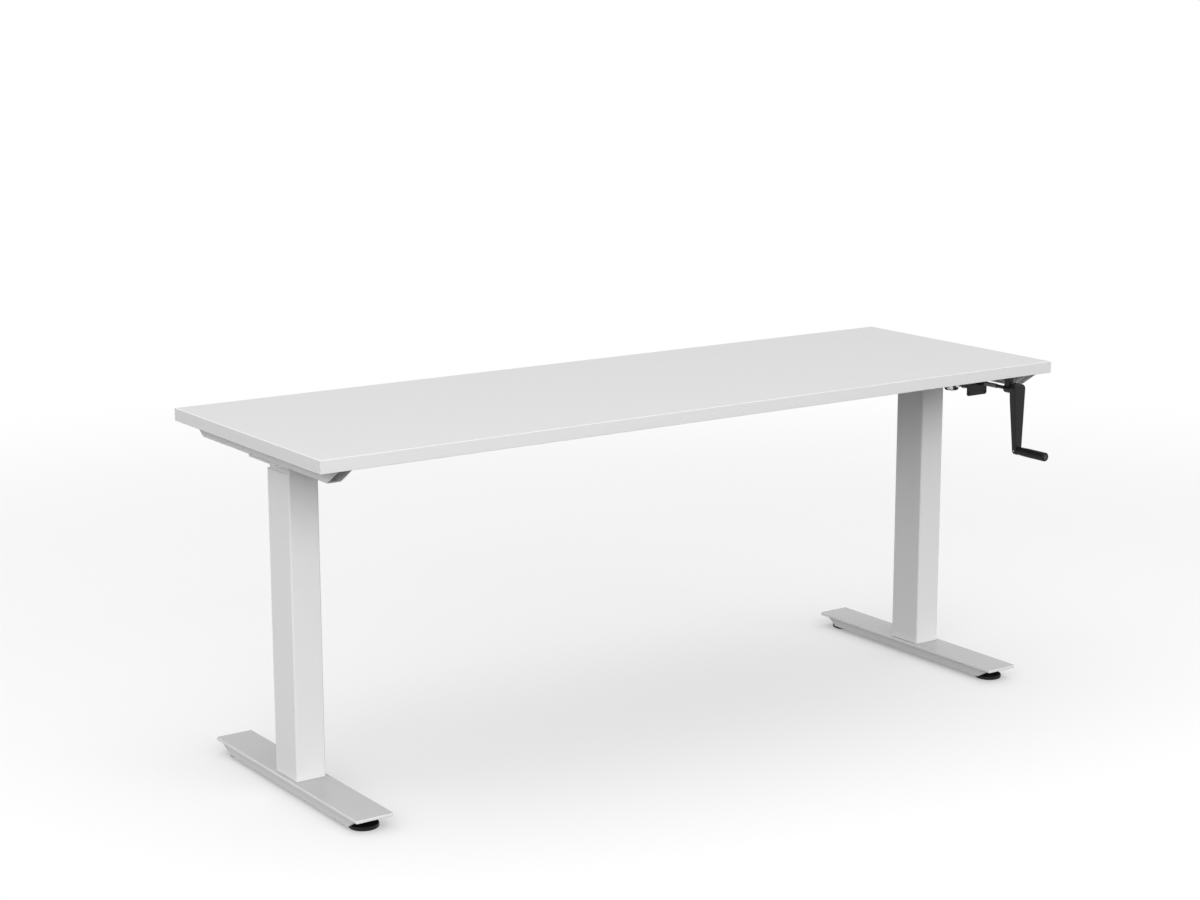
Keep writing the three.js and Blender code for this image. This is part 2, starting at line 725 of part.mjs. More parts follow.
// Directions of the jointed shaft: along it, across it in both planes of its bend, and square to that
const frontJoint = new THREE.Vector3(legX, frontJointY, outputZ);
const rearJoint = new THREE.Vector3(legX, rearJointY, shaftZ);
const jointAxis = rearJoint.clone().sub(frontJoint).normalize();
const bendPin = jointAxis.clone().cross(unitY).normalize();
const straightPin = unitY.clone().cross(bendPin).normalize();
const bendAngle = jointAxis.angleTo(unitY);

// Yoke with its ears along X, its joint centre at the origin and its shaft towards -Y
function yokeGeometry(socketRadius, socketSides, holeRadius, swing) {
  const ear = new THREE.Shape();
  const shoulder = -forkDepth - cutOverrun;
  ear.moveTo(shoulder, -earHalfWidth);
  ear.absarc(earEnd - earHalfWidth, 0, earHalfWidth, -Math.PI / 2, Math.PI / 2);
  ear.lineTo(shoulder, earHalfWidth);
  const drum = bar(yokeRadius, "y", -yokeLength, earEnd);
  const gap = block(-earInside, earInside, -forkDepth, earEnd + cutOverrun, -yokeRadius, yokeRadius);
  const hole = bar(holeRadius, "x", -yokeLength, yokeLength, smallSides);
  const slot = join(
    hole.clone().translate(0, -swing, 0),
    hole.clone().translate(0, swing, 0),
    block(-yokeLength, yokeLength, -swing, swing, -holeRadius, holeRadius),
  );
  const holes = swing > 0 ? slot : hole;
  const ears = cut(common(extrude(ear, "x", -yokeRadius, yokeRadius, earSteps), drum), gap, holes);
  const hub = bar(yokeRadius, "y", -yokeLength, -forkDepth);
  const socketEnd = -yokeLength + yokeSocketDepth;
  const socket = bar(socketRadius, "y", -yokeLength - cutOverrun, socketEnd, socketSides);
  return cut(join(hub, ears), socket);
}

function spiderGeometry() {
  const half = spiderBlock / 2;
  return join(
    block(-half, half, -half, half, -half, half),
    bar(spiderPinRadius, "x", -spiderPinReach, spiderPinReach, smallSides),
    bar(spiderPinRadius, "z", -spiderPinReach, spiderPinReach, smallSides),
  );
}

// Jointed shaft: the crosses ride with the two straight shafts, and the slanted shaft's ears have long
// holes in which the pins swing
function addJointedShaft(parent) {
  const pinHole = spiderPinRadius + runningGap;
  const swing = spiderPinReach * Math.tan(bendAngle);
  const slotRadius = pinHole + slotFreeplay;
  const inputYoke = yokeGeometry(hexRadius + seatGap, smallSides, pinHole, 0);
  const outputYoke = yokeGeometry(outputShaftRadius + seatGap, smallSides, pinHole, 0);
  const slantedYoke = yokeGeometry(jointShaftRadius + seatGap, smallSides, slotRadius, swing);
  const spider = spiderGeometry();
  const back = unitY.clone().negate();
  const places = [
    ["gearbox_output_yoke", outputYoke, blackCoat, frontJoint, straightPin, unitY],
    ["joint_shaft_front_yoke", slantedYoke, blackCoat, frontJoint, bendPin, jointAxis.clone().negate()],
    ["joint_shaft_rear_yoke", slantedYoke, blackCoat, rearJoint, bendPin, jointAxis],
    ["leg_input_yoke", inputYoke, blackCoat, rearJoint, straightPin, back],
    ["front_joint_cross", spider, brightSteel, frontJoint, straightPin, unitY],
    ["rear_joint_cross", spider, brightSteel, rearJoint, straightPin, back],
  ];
  for (const [name, geometry, material, place, pin, along] of places) {
    const mesh = piece(name, geometry, material, place.x, place.y, place.z);
    aim(mesh, pin, along, pin.clone().cross(along));
    parent.add(mesh);
  }
  const socketBottom = yokeLength - yokeSocketDepth + seatGap;
  const half = frontJoint.distanceTo(rearJoint) / 2 - socketBottom;
  const middle = frontJoint.clone().add(rearJoint).multiplyScalar(0.5);
  const rod = bar(jointShaftRadius, "y", -half, half, smallSides);
  const jointShaft = piece("joint_shaft", rod, brightSteel, middle.x, middle.y, middle.z);
  aim(jointShaft, bendPin, jointAxis, bendPin.clone().cross(jointAxis));
  parent.add(jointShaft);

  const inputStart = rearJointY + socketBottom;
  const inputEnd = legOffset - pinionSocketStart - seatGap;
  const input = bar(hexRadius, "y", inputStart, inputEnd, 6);
  parent.add(piece("leg_input_shaft", input, brightSteel, legX, 0, shaftZ));
  const pinion = piece("leg_input_pinion", pinionGeometry(), darkSteel, legX, legOffset, shaftZ);
  const down = unitZ.clone().negate();
  aim(pinion, down, back.clone().cross(down), back);
  parent.add(pinion);
}

// Gearbox: a cast body open at the front, its cover plate, and a pair of spur gears
function addGearbox(parent) {
  const half = gearboxWidth / 2;
  const top = frameTopZ - crankZ;
  const bodyFront = gearboxFrontY + gearboxCoverThickness + seatGap;
  const pocketRadius = spurModule * (spurTeeth / 2 + stubAddendumShare) + gearPocketGap;
  const lobeRadius = pocketRadius + gearboxWall;
  const pocketBack = gearboxBackY - gearboxBackWall;
  const upper = block(-half, half, bodyFront, gearboxBackY, top - gearboxBodyHeight, top);
  const lobe = bar(lobeRadius, "y", bodyFront, bodyFront + gearboxLobeDepth);
  lobe.translate(crankOffset, 0, -outputDrop);
  const inputPocket = bar(pocketRadius, "y", bodyFront - cutOverrun, pocketBack);
  const outputPocket = inputPocket.clone().translate(crankOffset, 0, -outputDrop);
  const inputBore = bar(
    hexRadius + runningGap, "y", bodyFront, pocketBack + gearboxBackWall / 2, smallSides,
  );
  const outputBore = bar(
    outputShaftRadius + runningGap, "y", bodyFront, gearboxBackY + cutOverrun, smallSides,
  );
  outputBore.translate(crankOffset, 0, -outputDrop);
  const body = cut(join(upper, lobe), inputPocket, outputPocket, inputBore, outputBore);
  parent.add(piece("gearbox_housing", body, blackCoat));

  const coverMiddle = top - gearboxCoverHeight / 2;
  const plate = roundedRect(gearboxWidth, gearboxCoverHeight, gearboxCoverCorner, 0, coverMiddle);
  const cover = extrude(plate, "y", gearboxFrontY, gearboxFrontY + gearboxCoverThickness);
  const coverHole = bar(hexRadius + runningGap, "y", gearboxFrontY - cutOverrun, bodyFront + cutOverrun);
  parent.add(piece("gearbox_cover", cut(cover, coverHole), blackCoat));

  const gearFront = (bodyFront + pocketBack - spurWidth) / 2;
  const inputGear = spurGear(spurWidth, hexSocketRadius, 6);
  parent.add(piece("crank_gear", inputGear, brightSteel, 0, gearFront, 0));
  const outputGear = spurGear(spurWidth, outputShaftRadius + seatGap, smallSides);
  parent.add(piece("output_gear", outputGear, brightSteel, crankOffset, gearFront, -outputDrop));
  const shaftEnd = frontJointY - yokeLength + yokeSocketDepth - seatGap;
  const outputShaft = bar(outputShaftRadius, "y", bodyFront + runningGap, shaftEnd, smallSides);
  parent.add(piece("gearbox_output_shaft", outputShaft, brightSteel, crankOffset, 0, -outputDrop));

  const shaftBack = pocketBack + gearboxBackWall / 2 - runningGap;
  const crankShaft = bar(hexRadius, "y", armFrontY + armSocketFloor + seatGap, shaftBack, 6);
  parent.add(piece("crank_shaft", crankShaft, blackCoat));
  const collarBack = gearboxFrontY - runningGap;
  const collar = bar(collarRadius, "y", collarBack - collarLength, collarBack);
  const collarBore = bar(
    hexSocketRadius, "y", collarBack - collarLength - cutOverrun, collarBack + cutOverrun, 6,
  );
  parent.add(piece("crank_shaft_collar", cut(collar, collarBore), palePlastic));
}

// Hanger: a post with a bearing barrel, hung from a flange under the worktop
const barrelFrontY = frontEdgeY + hangerSetback;

function addHanger(parent) {
  const top = frameTopZ - crankZ;
  const postFront = frontEdgeY + hangerPostSetback;
  const postBack = postFront + hangerDepth;
  const half = hangerWidth / 2;
  const post = block(-half, half, postFront, postBack, 0, top);
  const barrelBack = barrelFrontY + hangerBarrelLength;
  const barrel = bar(hangerBarrelRadius, "y", barrelFrontY, barrelBack);
  const flangeMiddle = postFront + hangerFlangeDepth / 2;
  const flangeOutline = roundedRect(
    hangerFlangeLength, hangerFlangeDepth, hangerFlangeCorner, 0, flangeMiddle,
  );
  const flange = extrude(flangeOutline, "z", top - hangerFlangeThickness, top);
  const bushRadius = hexRadius + runningGap + bushWall;
  const [boreFront, boreBack] = [barrelFrontY - cutOverrun, barrelBack + cutOverrun];
  const bore = bar(bushRadius + seatGap, "y", boreFront, boreBack, smallSides);
  parent.add(piece("crank_hanger", cut(join(post, barrel, flange), bore), blackCoat));
  const bush = bar(bushRadius, "y", barrelFrontY, barrelBack, smallSides);
  const bushBore = bar(bushRadius - bushWall, "y", boreFront, boreBack, smallSides);
  parent.add(piece("hanger_bush", cut(bush, bushBore), palePlastic));
}

// Front view of the arm: rounded corners above the crank's axis, a round end about the grip's axis,
// and straight sides that touch both
function armOutline() {
  const inset = armTopWidth / 2 - armCorner;
  const cornerZ = armTopHeight - armCorner;
  const span = Math.hypot(inset, crankRadius + cornerZ);
  const lean = Math.asin((armCorner - armTipRadius) / span) + Math.asin(inset / span);
  const outline = new THREE.Shape();
  outline.absarc(inset, cornerZ, armCorner, -lean, Math.PI / 2);
  outline.absarc(-inset, cornerZ, armCorner, Math.PI / 2, Math.PI + lean);
  outline.absarc(0, -crankRadius, armTipRadius, Math.PI + lean, 2 * Math.PI - lean);
  return outline;
}

// Crank: a tapered arm, and a grip that turns on a shouldered pin
function addCrank(parent) {
  const rearTop = armFrontY + armTopThickness;
  const rearTip = armFrontY + armTipThickness;
  const top = armTopHeight + cutOverrun;
  const bottom = -crankRadius - armTipRadius - cutOverrun;
  const sideView = polygon([
    [armFrontY, top],
    [armFrontY, bottom],
    [rearTip, bottom],
    [rearTop, -armShoulder],
    [rearTop, top],
  ]);
  const arm = common(
    extrude(armOutline(), "y", armFrontY - cutOverrun, rearTop + cutOverrun, armSteps),
    extrude(sideView, "x", -armTopWidth, armTopWidth),
  );
  const bossEnd = barrelFrontY - runningGap;
  const boss = bar(armBossRadius, "y", rearTop - cutOverrun, bossEnd);
  const socket = bar(hexSocketRadius, "y", armFrontY + armSocketFloor, bossEnd + cutOverrun, 6);
  const pinHoleRadius = gripPinThreadRadius + seatGap;
  const pinHole = bar(pinHoleRadius, "y", armFrontY - cutOverrun, rearTop + cutOverrun, smallSides);
  pinHole.translate(0, 0, -crankRadius);
  parent.add(piece("crank_arm", cut(join(arm, boss), socket, pinHole), blackCoat));

  const gripRootY = armFrontY - runningGap;
  const headInnerY = gripEndY + gripPinRecess + gripPinHeadHeight;
  const pin = turned([
    [0, gripEndY + gripPinRecess],
    [gripPinHeadRadius, gripEndY + gripPinRecess],
    [gripPinHeadRadius, headInnerY],
    [gripPinRadius, headInnerY],
    [gripPinRadius, gripRootY],
    [gripPinThreadRadius, gripRootY],
    [gripPinThreadRadius, rearTip + gripPinTail],
    [0, rearTip + gripPinTail],
  ], "y", smallSides);
  parent.add(piece("grip_pin", pin, brightSteel, 0, 0, -crankRadius));

  const bore = gripPinRadius + runningGap;
  const counterbore = gripPinHeadRadius + runningGap;
  const profile = [
    [counterbore, headInnerY + runningGap],
    [counterbore, gripEndY],
  ];
  for (let i = 0; i <= cornerSteps; i++) {
    const turn = Math.PI / 2 * i / cornerSteps;
    profile.push([
      gripEndRadius - gripRounding * (1 - Math.sin(turn)),
      gripEndY + gripRounding * (1 - Math.cos(turn)),
    ]);
  }
  profile.push([gripEndRadius, gripRootY - gripTaperShare * gripLength]);
  profile.push([gripRootRadius, gripRootY], [bore, gripRootY], [bore, headInnerY + runningGap]);
  profile.push([counterbore, headInnerY + runningGap]);
  parent.add(piece("crank_grip", turned(profile, "y"), blackPlastic, 0, 0, -crankRadius));
}

// The whole desk, set so that the middle of its length and of its depth with the crank is the origin
const desk = new THREE.Group();
desk.position.y = -(gripEndY + worktopDepth / 2) / 2;

addWorktop(desk);
addUpperFrame(desk);
for (const [name, side] of [["left", -1], ["right", 1]]) {
  const leg = new THREE.Group();
  leg.position.set(side * legX, legOffset, 0);
  addBase(leg, name);
  addUpperLeg(leg, name, -side, side > 0);
  desk.add(leg);
}
addCrossShaft(desk);
addJointedShaft(desk);

const crankLine = new THREE.Group();
crankLine.position.set(crankX, 0, crankZ);
addGearbox(crankLine);
addHanger(crankLine);
addCrank(crankLine);
desk.add(crankLine);

export default desk;
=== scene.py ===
import json
import math

import bmesh
import bpy
from mathutils import Matrix, Vector


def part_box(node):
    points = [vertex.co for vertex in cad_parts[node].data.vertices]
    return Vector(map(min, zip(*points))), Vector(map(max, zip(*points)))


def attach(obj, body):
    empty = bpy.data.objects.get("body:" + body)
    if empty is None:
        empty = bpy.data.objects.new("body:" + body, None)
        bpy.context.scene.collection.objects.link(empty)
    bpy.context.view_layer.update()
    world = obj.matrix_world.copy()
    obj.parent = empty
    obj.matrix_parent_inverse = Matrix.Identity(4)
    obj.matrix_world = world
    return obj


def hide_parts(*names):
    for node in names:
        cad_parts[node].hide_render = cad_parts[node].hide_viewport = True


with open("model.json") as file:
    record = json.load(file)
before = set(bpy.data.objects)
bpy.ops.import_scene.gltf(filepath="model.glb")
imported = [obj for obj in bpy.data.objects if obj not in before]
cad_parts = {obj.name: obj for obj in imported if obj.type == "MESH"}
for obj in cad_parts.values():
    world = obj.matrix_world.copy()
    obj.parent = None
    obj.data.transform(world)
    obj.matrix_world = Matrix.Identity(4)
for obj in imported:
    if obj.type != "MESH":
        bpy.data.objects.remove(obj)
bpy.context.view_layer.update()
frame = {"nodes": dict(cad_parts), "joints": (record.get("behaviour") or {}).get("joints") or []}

# Camera. It stands in front of the desk's left end at a standing person's eye height and looks
# along the worktop towards the crank. The long lens and the small shift give the framing.
camera_place = Vector((-2.794148, -3.859631, 1.591305))
camera_turn = [math.radians(angle) for angle in (78.494, -0.224, -36.189)]
camera_view = bpy.data.cameras.new("camera")
camera_view.sensor_fit = "HORIZONTAL"
camera_view.sensor_width = 36
camera_view.lens = 70.61
camera_view.shift_x = -0.0553
camera_view.shift_y = -0.0142
camera_view.clip_end = 100
camera = bpy.data.objects.new("camera", camera_view)
camera.location = camera_place
camera.rotation_euler = camera_turn
bpy.context.scene.collection.objects.link(camera)
bpy.context.scene.camera = camera
bpy.context.scene.view_settings.view_transform = "Standard"


# Studio room. An even white sky lights the desk from all sides and more from overhead. Seen
# straight or in a reflection it is plain white.
sky_at_horizon = 0.32
sky_overhead = 1.52


def seen_directly(tree):
    """A value of 1 for rays from the camera and for those in a mirror or through glass."""
    path = tree.nodes.new("ShaderNodeLightPath")
    either = tree.nodes.new("ShaderNodeMath")
    either.operation = "MAXIMUM"
    any_of_them = tree.nodes.new("ShaderNodeMath")
    any_of_them.operation = "MAXIMUM"
    tree.links.new(path.outputs["Is Camera Ray"], either.inputs[0])
    tree.links.new(path.outputs["Is Glossy Ray"], either.inputs[1])
    tree.links.new(either.outputs[0], any_of_them.inputs[0])
    tree.links.new(path.outputs["Is Transmission Ray"], any_of_them.inputs[1])
    return any_of_them.outputs[0]


room = bpy.data.worlds.new("studio_room")
room.use_nodes = True
bpy.context.scene.world = room
tree = room.node_tree
tree.nodes.clear()
direction = tree.nodes.new("ShaderNodeTexCoord")
parts = tree.nodes.new("ShaderNodeSeparateXYZ")
height = tree.nodes.new("ShaderNodeMapRange")
height.inputs["To Min"].default_value = sky_at_horizon
height.inputs["To Max"].default_value = sky_overhead
sky = tree.nodes.new("ShaderNodeBackground")
white_room = tree.nodes.new("ShaderNodeBackground")
white_room.inputs["Color"].default_value = (1, 1, 1, 1)
shown = tree.nodes.new("ShaderNodeMixShader")
out = tree.nodes.new("ShaderNodeOutputWorld")
tree.links.new(direction.outputs["Generated"], parts.inputs[0])
tree.links.new(parts.outputs["Z"], height.inputs["Value"])
tree.links.new(height.outputs["Result"], sky.inputs["Strength"])
tree.links.new(seen_directly(tree), shown.inputs["Fac"])
tree.links.new(sky.outputs[0], shown.inputs[1])
tree.links.new(white_room.outputs[0], shown.inputs[2])
tree.links.new(shown.outputs[0], out.inputs["Surface"])

# Softboxes. The large one stands in front of the desk, the others to its left and at the corner
# between. They light what the worktop doesn't shade, and no mirror shows them.
softbox_height = 2.5
lit_spot = Vector((0, 0, 0.4))
softboxes = (
    ("front_softbox", (0.0, -4.0, 2.2), 5.0, 75),
    ("left_softbox", (-4.8, 0.2, 2.2), 5.0, 35),
    ("corner_softbox", (-3.6, -3.4, 2.4), 3.5, 57),
)
for name, stand, width, power in softboxes:
    softbox_data = bpy.data.lights.new(name, "AREA")
    softbox_data.shape = "RECTANGLE"
    softbox_data.size = width
    softbox_data.size_y = softbox_height
    softbox_data.energy = power
    softbox = bpy.data.objects.new(name, softbox_data)
    softbox.location = stand
    softbox.rotation_euler = (lit_spot - Vector(stand)).to_track_quat("-Z", "Y").to_euler()
    softbox.visible_camera = False
    softbox.visible_glossy = False
    bpy.context.scene.collection.objects.link(softbox)

# Floor. A pale disc that keeps the desk's soft shadow near its middle and runs out into the
# white of the room. For the light that it throws back at the desk it is much darker.
floor_radius = 14
floor_sides = 96
floor_drop = 0.0004
shadow_reach = 1.9
white_reach = 4.2
floor_glow = 0.29
floor_white = 0.62
floor_bounce = 0.06
bpy.ops.object.select_all(action="DESELECT")
bpy.ops.mesh.primitive_circle_add(
    vertices=floor_sides, radius=floor_radius, fill_type="NGON", location=(0, 0, -floor_drop),
)
floor = bpy.context.object
floor.name = "floor"
floor_finish = bpy.data.materials.new("pale_floor")
floor_finish.use_nodes = True
tree = floor_finish.node_tree
tree.nodes.clear()
place = tree.nodes.new("ShaderNodeTexCoord")
reach = tree.nodes.new("ShaderNodeVectorMath")
reach.operation = "LENGTH"
fade = tree.nodes.new("ShaderNodeMapRange")
fade.interpolation_type = "SMOOTHSTEP"
fade.inputs["From Min"].default_value = shadow_reach
fade.inputs["From Max"].default_value = white_reach
paint = tree.nodes.new("ShaderNodeBsdfDiffuse")
paint.inputs["Color"].default_value = (floor_white, floor_white, floor_white, 1)
dim_paint = tree.nodes.new("ShaderNodeBsdfDiffuse")
dim_paint.inputs["Color"].default_value = (floor_bounce, floor_bounce, floor_bounce, 1)
glow = tree.nodes.new("ShaderNodeEmission")
glow.inputs["Strength"].default_value = floor_glow
brighter = tree.nodes.new("ShaderNodeAddShader")
far_white = tree.nodes.new("ShaderNodeEmission")
near_or_far = tree.nodes.new("ShaderNodeMixShader")
shown = tree.nodes.new("ShaderNodeMixShader")
out = tree.nodes.new("ShaderNodeOutputMaterial")
tree.links.new(place.outputs["Object"], reach.inputs[0])
tree.links.new(reach.outputs["Value"], fade.inputs["Value"])
tree.links.new(paint.outputs[0], brighter.inputs[0])
tree.links.new(glow.outputs[0], brighter.inputs[1])
tree.links.new(fade.outputs["Result"], near_or_far.inputs["Fac"])
tree.links.new(brighter.outputs[0], near_or_far.inputs[1])
tree.links.new(far_white.outputs[0], near_or_far.inputs[2])
tree.links.new(seen_directly(tree), shown.inputs["Fac"])
tree.links.new(dim_paint.outputs[0], shown.inputs[1])
tree.links.new(near_or_far.outputs[0], shown.inputs[2])
tree.links.new(shown.outputs[0], out.inputs["Surface"])
floor.data.materials.append(floor_finish)


# Worktop board. Chipboard 25 mm thick with a grey-white melamine face above and below, sawn
# square, with the finest of arrises. The face has a fine matt pearl texture.
face_thickness = 0.0008
board_arris = 0.0002
melamine_white = (0.64, 0.64, 0.64)
core_brown = (0.42, 0.33, 0.22)
along_share = 0.999
upright_share = 0.1
clouds_per_metre = 9
sheen_spread = 0.1
relief_strength = 0.6


def settle(name):
    """Names the new object and puts its place, turn and scale into its mesh."""
    piece = bpy.context.object
    piece.name = name
    piece.data.name = name
    bpy.ops.object.transform_apply(location=True, rotation=True, scale=True)
    return piece


def block(name, low, high):
    """A box between two corners."""
    bpy.ops.object.select_all(action="DESELECT")
    bpy.ops.mesh.primitive_cube_add(size=1, location=(low + high) / 2, scale=high - low)
    return settle(name)


def begin_edit(piece):
    bpy.ops.object.select_all(action="DESELECT")
    piece.select_set(True)
    bpy.context.view_layer.objects.active = piece
    bpy.ops.object.mode_set(mode="EDIT")


def end_edit():
    bpy.ops.object.mode_set(mode="OBJECT")


def pick(piece, kind, test):
    """Selects the vertices, edges or faces of the piece in edit mode that pass a test."""
    bpy.ops.mesh.select_mode(type=kind)
    bpy.ops.mesh.select_all(action="DESELECT")
    shape = bmesh.from_edit_mesh(piece.data)
    elements = {"VERT": shape.verts, "EDGE": shape.edges, "FACE": shape.faces}[kind]
    for element in elements:
        element.select = bool(test(element))
    shape.select_flush_mode()
    bmesh.update_edit_mesh(piece.data)


def runs_along(edge, axis):
    run = edge.verts[1].co - edge.verts[0].co
    return abs(run[axis]) > along_share * run.length


def round_edges(piece, test, radius, segments):
    """Rounds the edges that pass a test."""
    begin_edit(piece)
    pick(piece, "EDGE", test)
    bpy.ops.mesh.bevel(offset=radius, offset_type="OFFSET", segments=segments, affect="EDGES")
    end_edit()


def cut_plane(piece, point, normal, clear=True):
    """Cuts the piece by a plane and removes what lies on the normal's side."""
    begin_edit(piece)
    bpy.ops.mesh.select_all(action="SELECT")
    bpy.ops.mesh.bisect(
        plane_co=point, plane_no=normal, use_fill=clear, clear_outer=clear, clear_inner=False,
    )
    end_edit()


def apply_modifier(piece, modifier):
    bpy.ops.object.select_all(action="DESELECT")
    piece.select_set(True)
    bpy.context.view_layer.objects.active = piece
    bpy.ops.object.modifier_apply(modifier=modifier.name)


def soften(piece, width, segments=2, angle=35):
    """Breaks every sharp edge of the piece, as tumbling, paint or a mould does."""
    arris = piece.modifiers.new("arris", "BEVEL")
    arris.limit_method = "ANGLE"
    arris.angle_limit = math.radians(angle)
    arris.width = width
    arris.segments = segments
    arris.use_clamp_overlap = True
    apply_modifier(piece, arris)


def smooth(piece, angle=40):
    bpy.ops.object.select_all(action="DESELECT")
    piece.select_set(True)
    bpy.context.view_layer.objects.active = piece
    bpy.ops.object.shade_smooth_by_angle(angle=math.radians(angle))
    even = piece.modifiers.new("even_shading", "WEIGHTED_NORMAL")
    even.keep_sharp = True
    apply_modifier(piece, even)


def paint_faces(piece, test):
    """Gives the faces that pass a test the piece's second material."""
    begin_edit(piece)
    pick(piece, "FACE", test)
    piece.active_material_index = 1
    bpy.ops.object.material_slot_assign()
    end_edit()


def mount(piece, body, slot, material, *replaced):
    """Paints a finished piece and fits it to its body in place of its plain nodes."""
    smooth(piece)
    if not piece.data.materials:
        piece.data.materials.append(material)
    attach(piece, body)
    if replaced:
        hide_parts(*replaced)
    return piece


def surface(name, colour, roughness, grain, depth, mottle, metal=0.0, gloss=0.5):
    """A finish with broad clouding, uneven roughness and a fine relief of the given grain size."""
    material = bpy.data.materials.new(name)
    material.use_nodes = True
    tree = material.node_tree
    shader = tree.nodes["Principled BSDF"]
    shader.inputs["Metallic"].default_value = metal
    shader.inputs["Specular IOR Level"].default_value = gloss
    place = tree.nodes.new("ShaderNodeTexCoord")
    cloud = tree.nodes.new("ShaderNodeTexNoise")
    cloud.inputs["Scale"].default_value = clouds_per_metre
    cloud.inputs["Detail"].default_value = 4
    tint = tree.nodes.new("ShaderNodeMix")
    tint.data_type = "RGBA"
    tint.inputs["A"].default_value = (*[channel * (1 - mottle) for channel in colour], 1)
    tint.inputs["B"].default_value = (*[min(1, channel * (1 + mottle)) for channel in colour], 1)
    fine = tree.nodes.new("ShaderNodeTexNoise")
    fine.inputs["Scale"].default_value = 1 / grain
    fine.inputs["Detail"].default_value = 3
    sheen = tree.nodes.new("ShaderNodeMapRange")
    sheen.inputs["To Min"].default_value = roughness * (1 - sheen_spread)
    sheen.inputs["To Max"].default_value = roughness * (1 + sheen_spread)
    relief = tree.nodes.new("ShaderNodeBump")
    relief.inputs["Strength"].default_value = relief_strength
    relief.inputs["Distance"].default_value = depth
    tree.links.new(place.outputs["Object"], cloud.inputs["Vector"])
    tree.links.new(place.outputs["Object"], fine.inputs["Vector"])
    tree.links.new(cloud.outputs["Fac"], tint.inputs["Factor"])
    tree.links.new(tint.outputs["Result"], shader.inputs["Base Color"])
    tree.links.new(fine.outputs["Fac"], sheen.inputs["Value"])
    tree.links.new(sheen.outputs["Result"], shader.inputs["Roughness"])
    tree.links.new(fine.outputs["Fac"], relief.inputs["Height"])
    tree.links.new(relief.outputs["Normal"], shader.inputs["Normal"])
    return material


melamine = surface("melamine_face", melamine_white, 0.48, 0.0011, 0.00003, 0.006, gloss=0.3)
chipboard = surface("chipboard_core", core_brown, 0.8, 0.0016, 0.0002, 0.25, gloss=0.2)
low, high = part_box("worktop_board")
board = block("board_panel", low, high)
soften(board, board_arris)
for level in (low.z + face_thickness, high.z - face_thickness):
    cut_plane(board, (0, 0, level), (0, 0, 1), clear=False)
board.data.materials.append(melamine)
board.data.materials.append(chipboard)


def in_core(face):
    level = face.calc_center_median().z
    upright = abs(face.normal.z) < upright_share
    return upright and low.z + face_thickness < level < high.z - face_thickness


paint_faces(board, in_core)
mount(board, "top_frame", "worktop_face", melamine, "worktop_board")

# Edge bands. Strips of 2 mm plastic, a shade whiter than the face, glued to the four sawn edges
# and trimmed with a small radius. The long bands cover the ends of the short ones.
band_radius = 0.0008
same_place = 1e-5
band_white = (0.84, 0.84, 0.84)
edging = surface("plastic_edging", band_white, 0.42, 0.0006, 0.000012, 0.006, gloss=0.35)
for side, axis, outward in (("front", 1, -1), ("rear", 1, 1), ("left", 0, -1), ("right", 0, 1)):
    low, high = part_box(f"{side}_edge_band")
    band = block(f"{side}_banding", low, high)
    outer = high[axis] if outward > 0 else low[axis]
    long_axis = 1 - axis

    def on_outer_arris(edge):
        outside = all(abs(vertex.co[axis] - outer) < same_place for vertex in edge.verts)
        return outside and (axis == 1 or runs_along(edge, long_axis))

    round_edges(band, on_outer_arris, band_radius, 4)
    mount(band, "top_frame", "worktop_edge", edging, f"{side}_edge_band")


# Side brackets. Channels folded from 2.5 mm steel sheet, open against the board, with both ends
# sawn at a slant, powder coated white. Four screws go up through the web into the board.
bracket_wall = 0.0025
bracket_bend = 0.003
bracket_rake = 0.0445
sheet_arris = 0.0003
facing_share = 0.99
coat_white = (0.92, 0.92, 0.92)
powder = surface("white_powder_coat", coat_white, 0.3, 0.0009, 0.00002, 0.006, gloss=0.4)


def remove_faces(piece, test):
    begin_edit(piece)
    pick(piece, "FACE", test)
    bpy.ops.mesh.delete(type="FACE")
    end_edit()


def thicken(piece, wall):
    """Gives an open shell its wall, inward from the outer face."""
    sheet = piece.modifiers.new("wall", "SOLIDIFY")
    sheet.thickness = wall
    sheet.offset = -1
    sheet.use_even_offset = True
    apply_modifier(piece, sheet)


for side in ("left", "right"):
    low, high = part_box(f"{side}_side_bracket")
    channel = block(f"{side}_bracket_channel", low, high)
    round_edges(
        channel,
        lambda edge: runs_along(edge, 1) and edge.verts[0].co.z < (low.z + high.z) / 2,
        bracket_bend, 5,
    )
    remove_faces(
        channel, lambda face: face.normal.z > facing_share or abs(face.normal.y) > facing_share,
    )
    thicken(channel, bracket_wall)
    for end, outward in ((low.y, -1), (high.y, 1)):
        slope = Vector((0, outward * (high.z - low.z), -bracket_rake))
        cut_plane(channel, (0, end, high.z), slope)
    soften(channel, sheet_arris)
    mount(channel, "top_frame", "white_powder_coat", powder, f"{side}_side_bracket")


# Screws. Zinc plated heads with a hexagon socket, turned and upset from steel wire. Those of the
# brackets are low and hold the web up against the board.
socket_width_share = 0.5
socket_floor_share = 0.35
head_round_share = 0.6
head_top_share = 0.9
socket_cutter_share = 1.5
screw_zinc = surface("zinc_screw", (0.62, 0.63, 0.64), 0.32, 0.0004, 0.00001, 0.05, metal=1.0)


def bar(name, radius, start, end, sides=48):
    """A round or many-sided bar between two points."""
    run = end - start
    bpy.ops.object.select_all(action="DESELECT")
    bpy.ops.mesh.primitive_cylinder_add(
        vertices=sides, radius=radius, depth=run.length, location=(start + end) / 2,
        rotation=run.to_track_quat("Z", "X").to_euler(),
    )
    return settle(name)


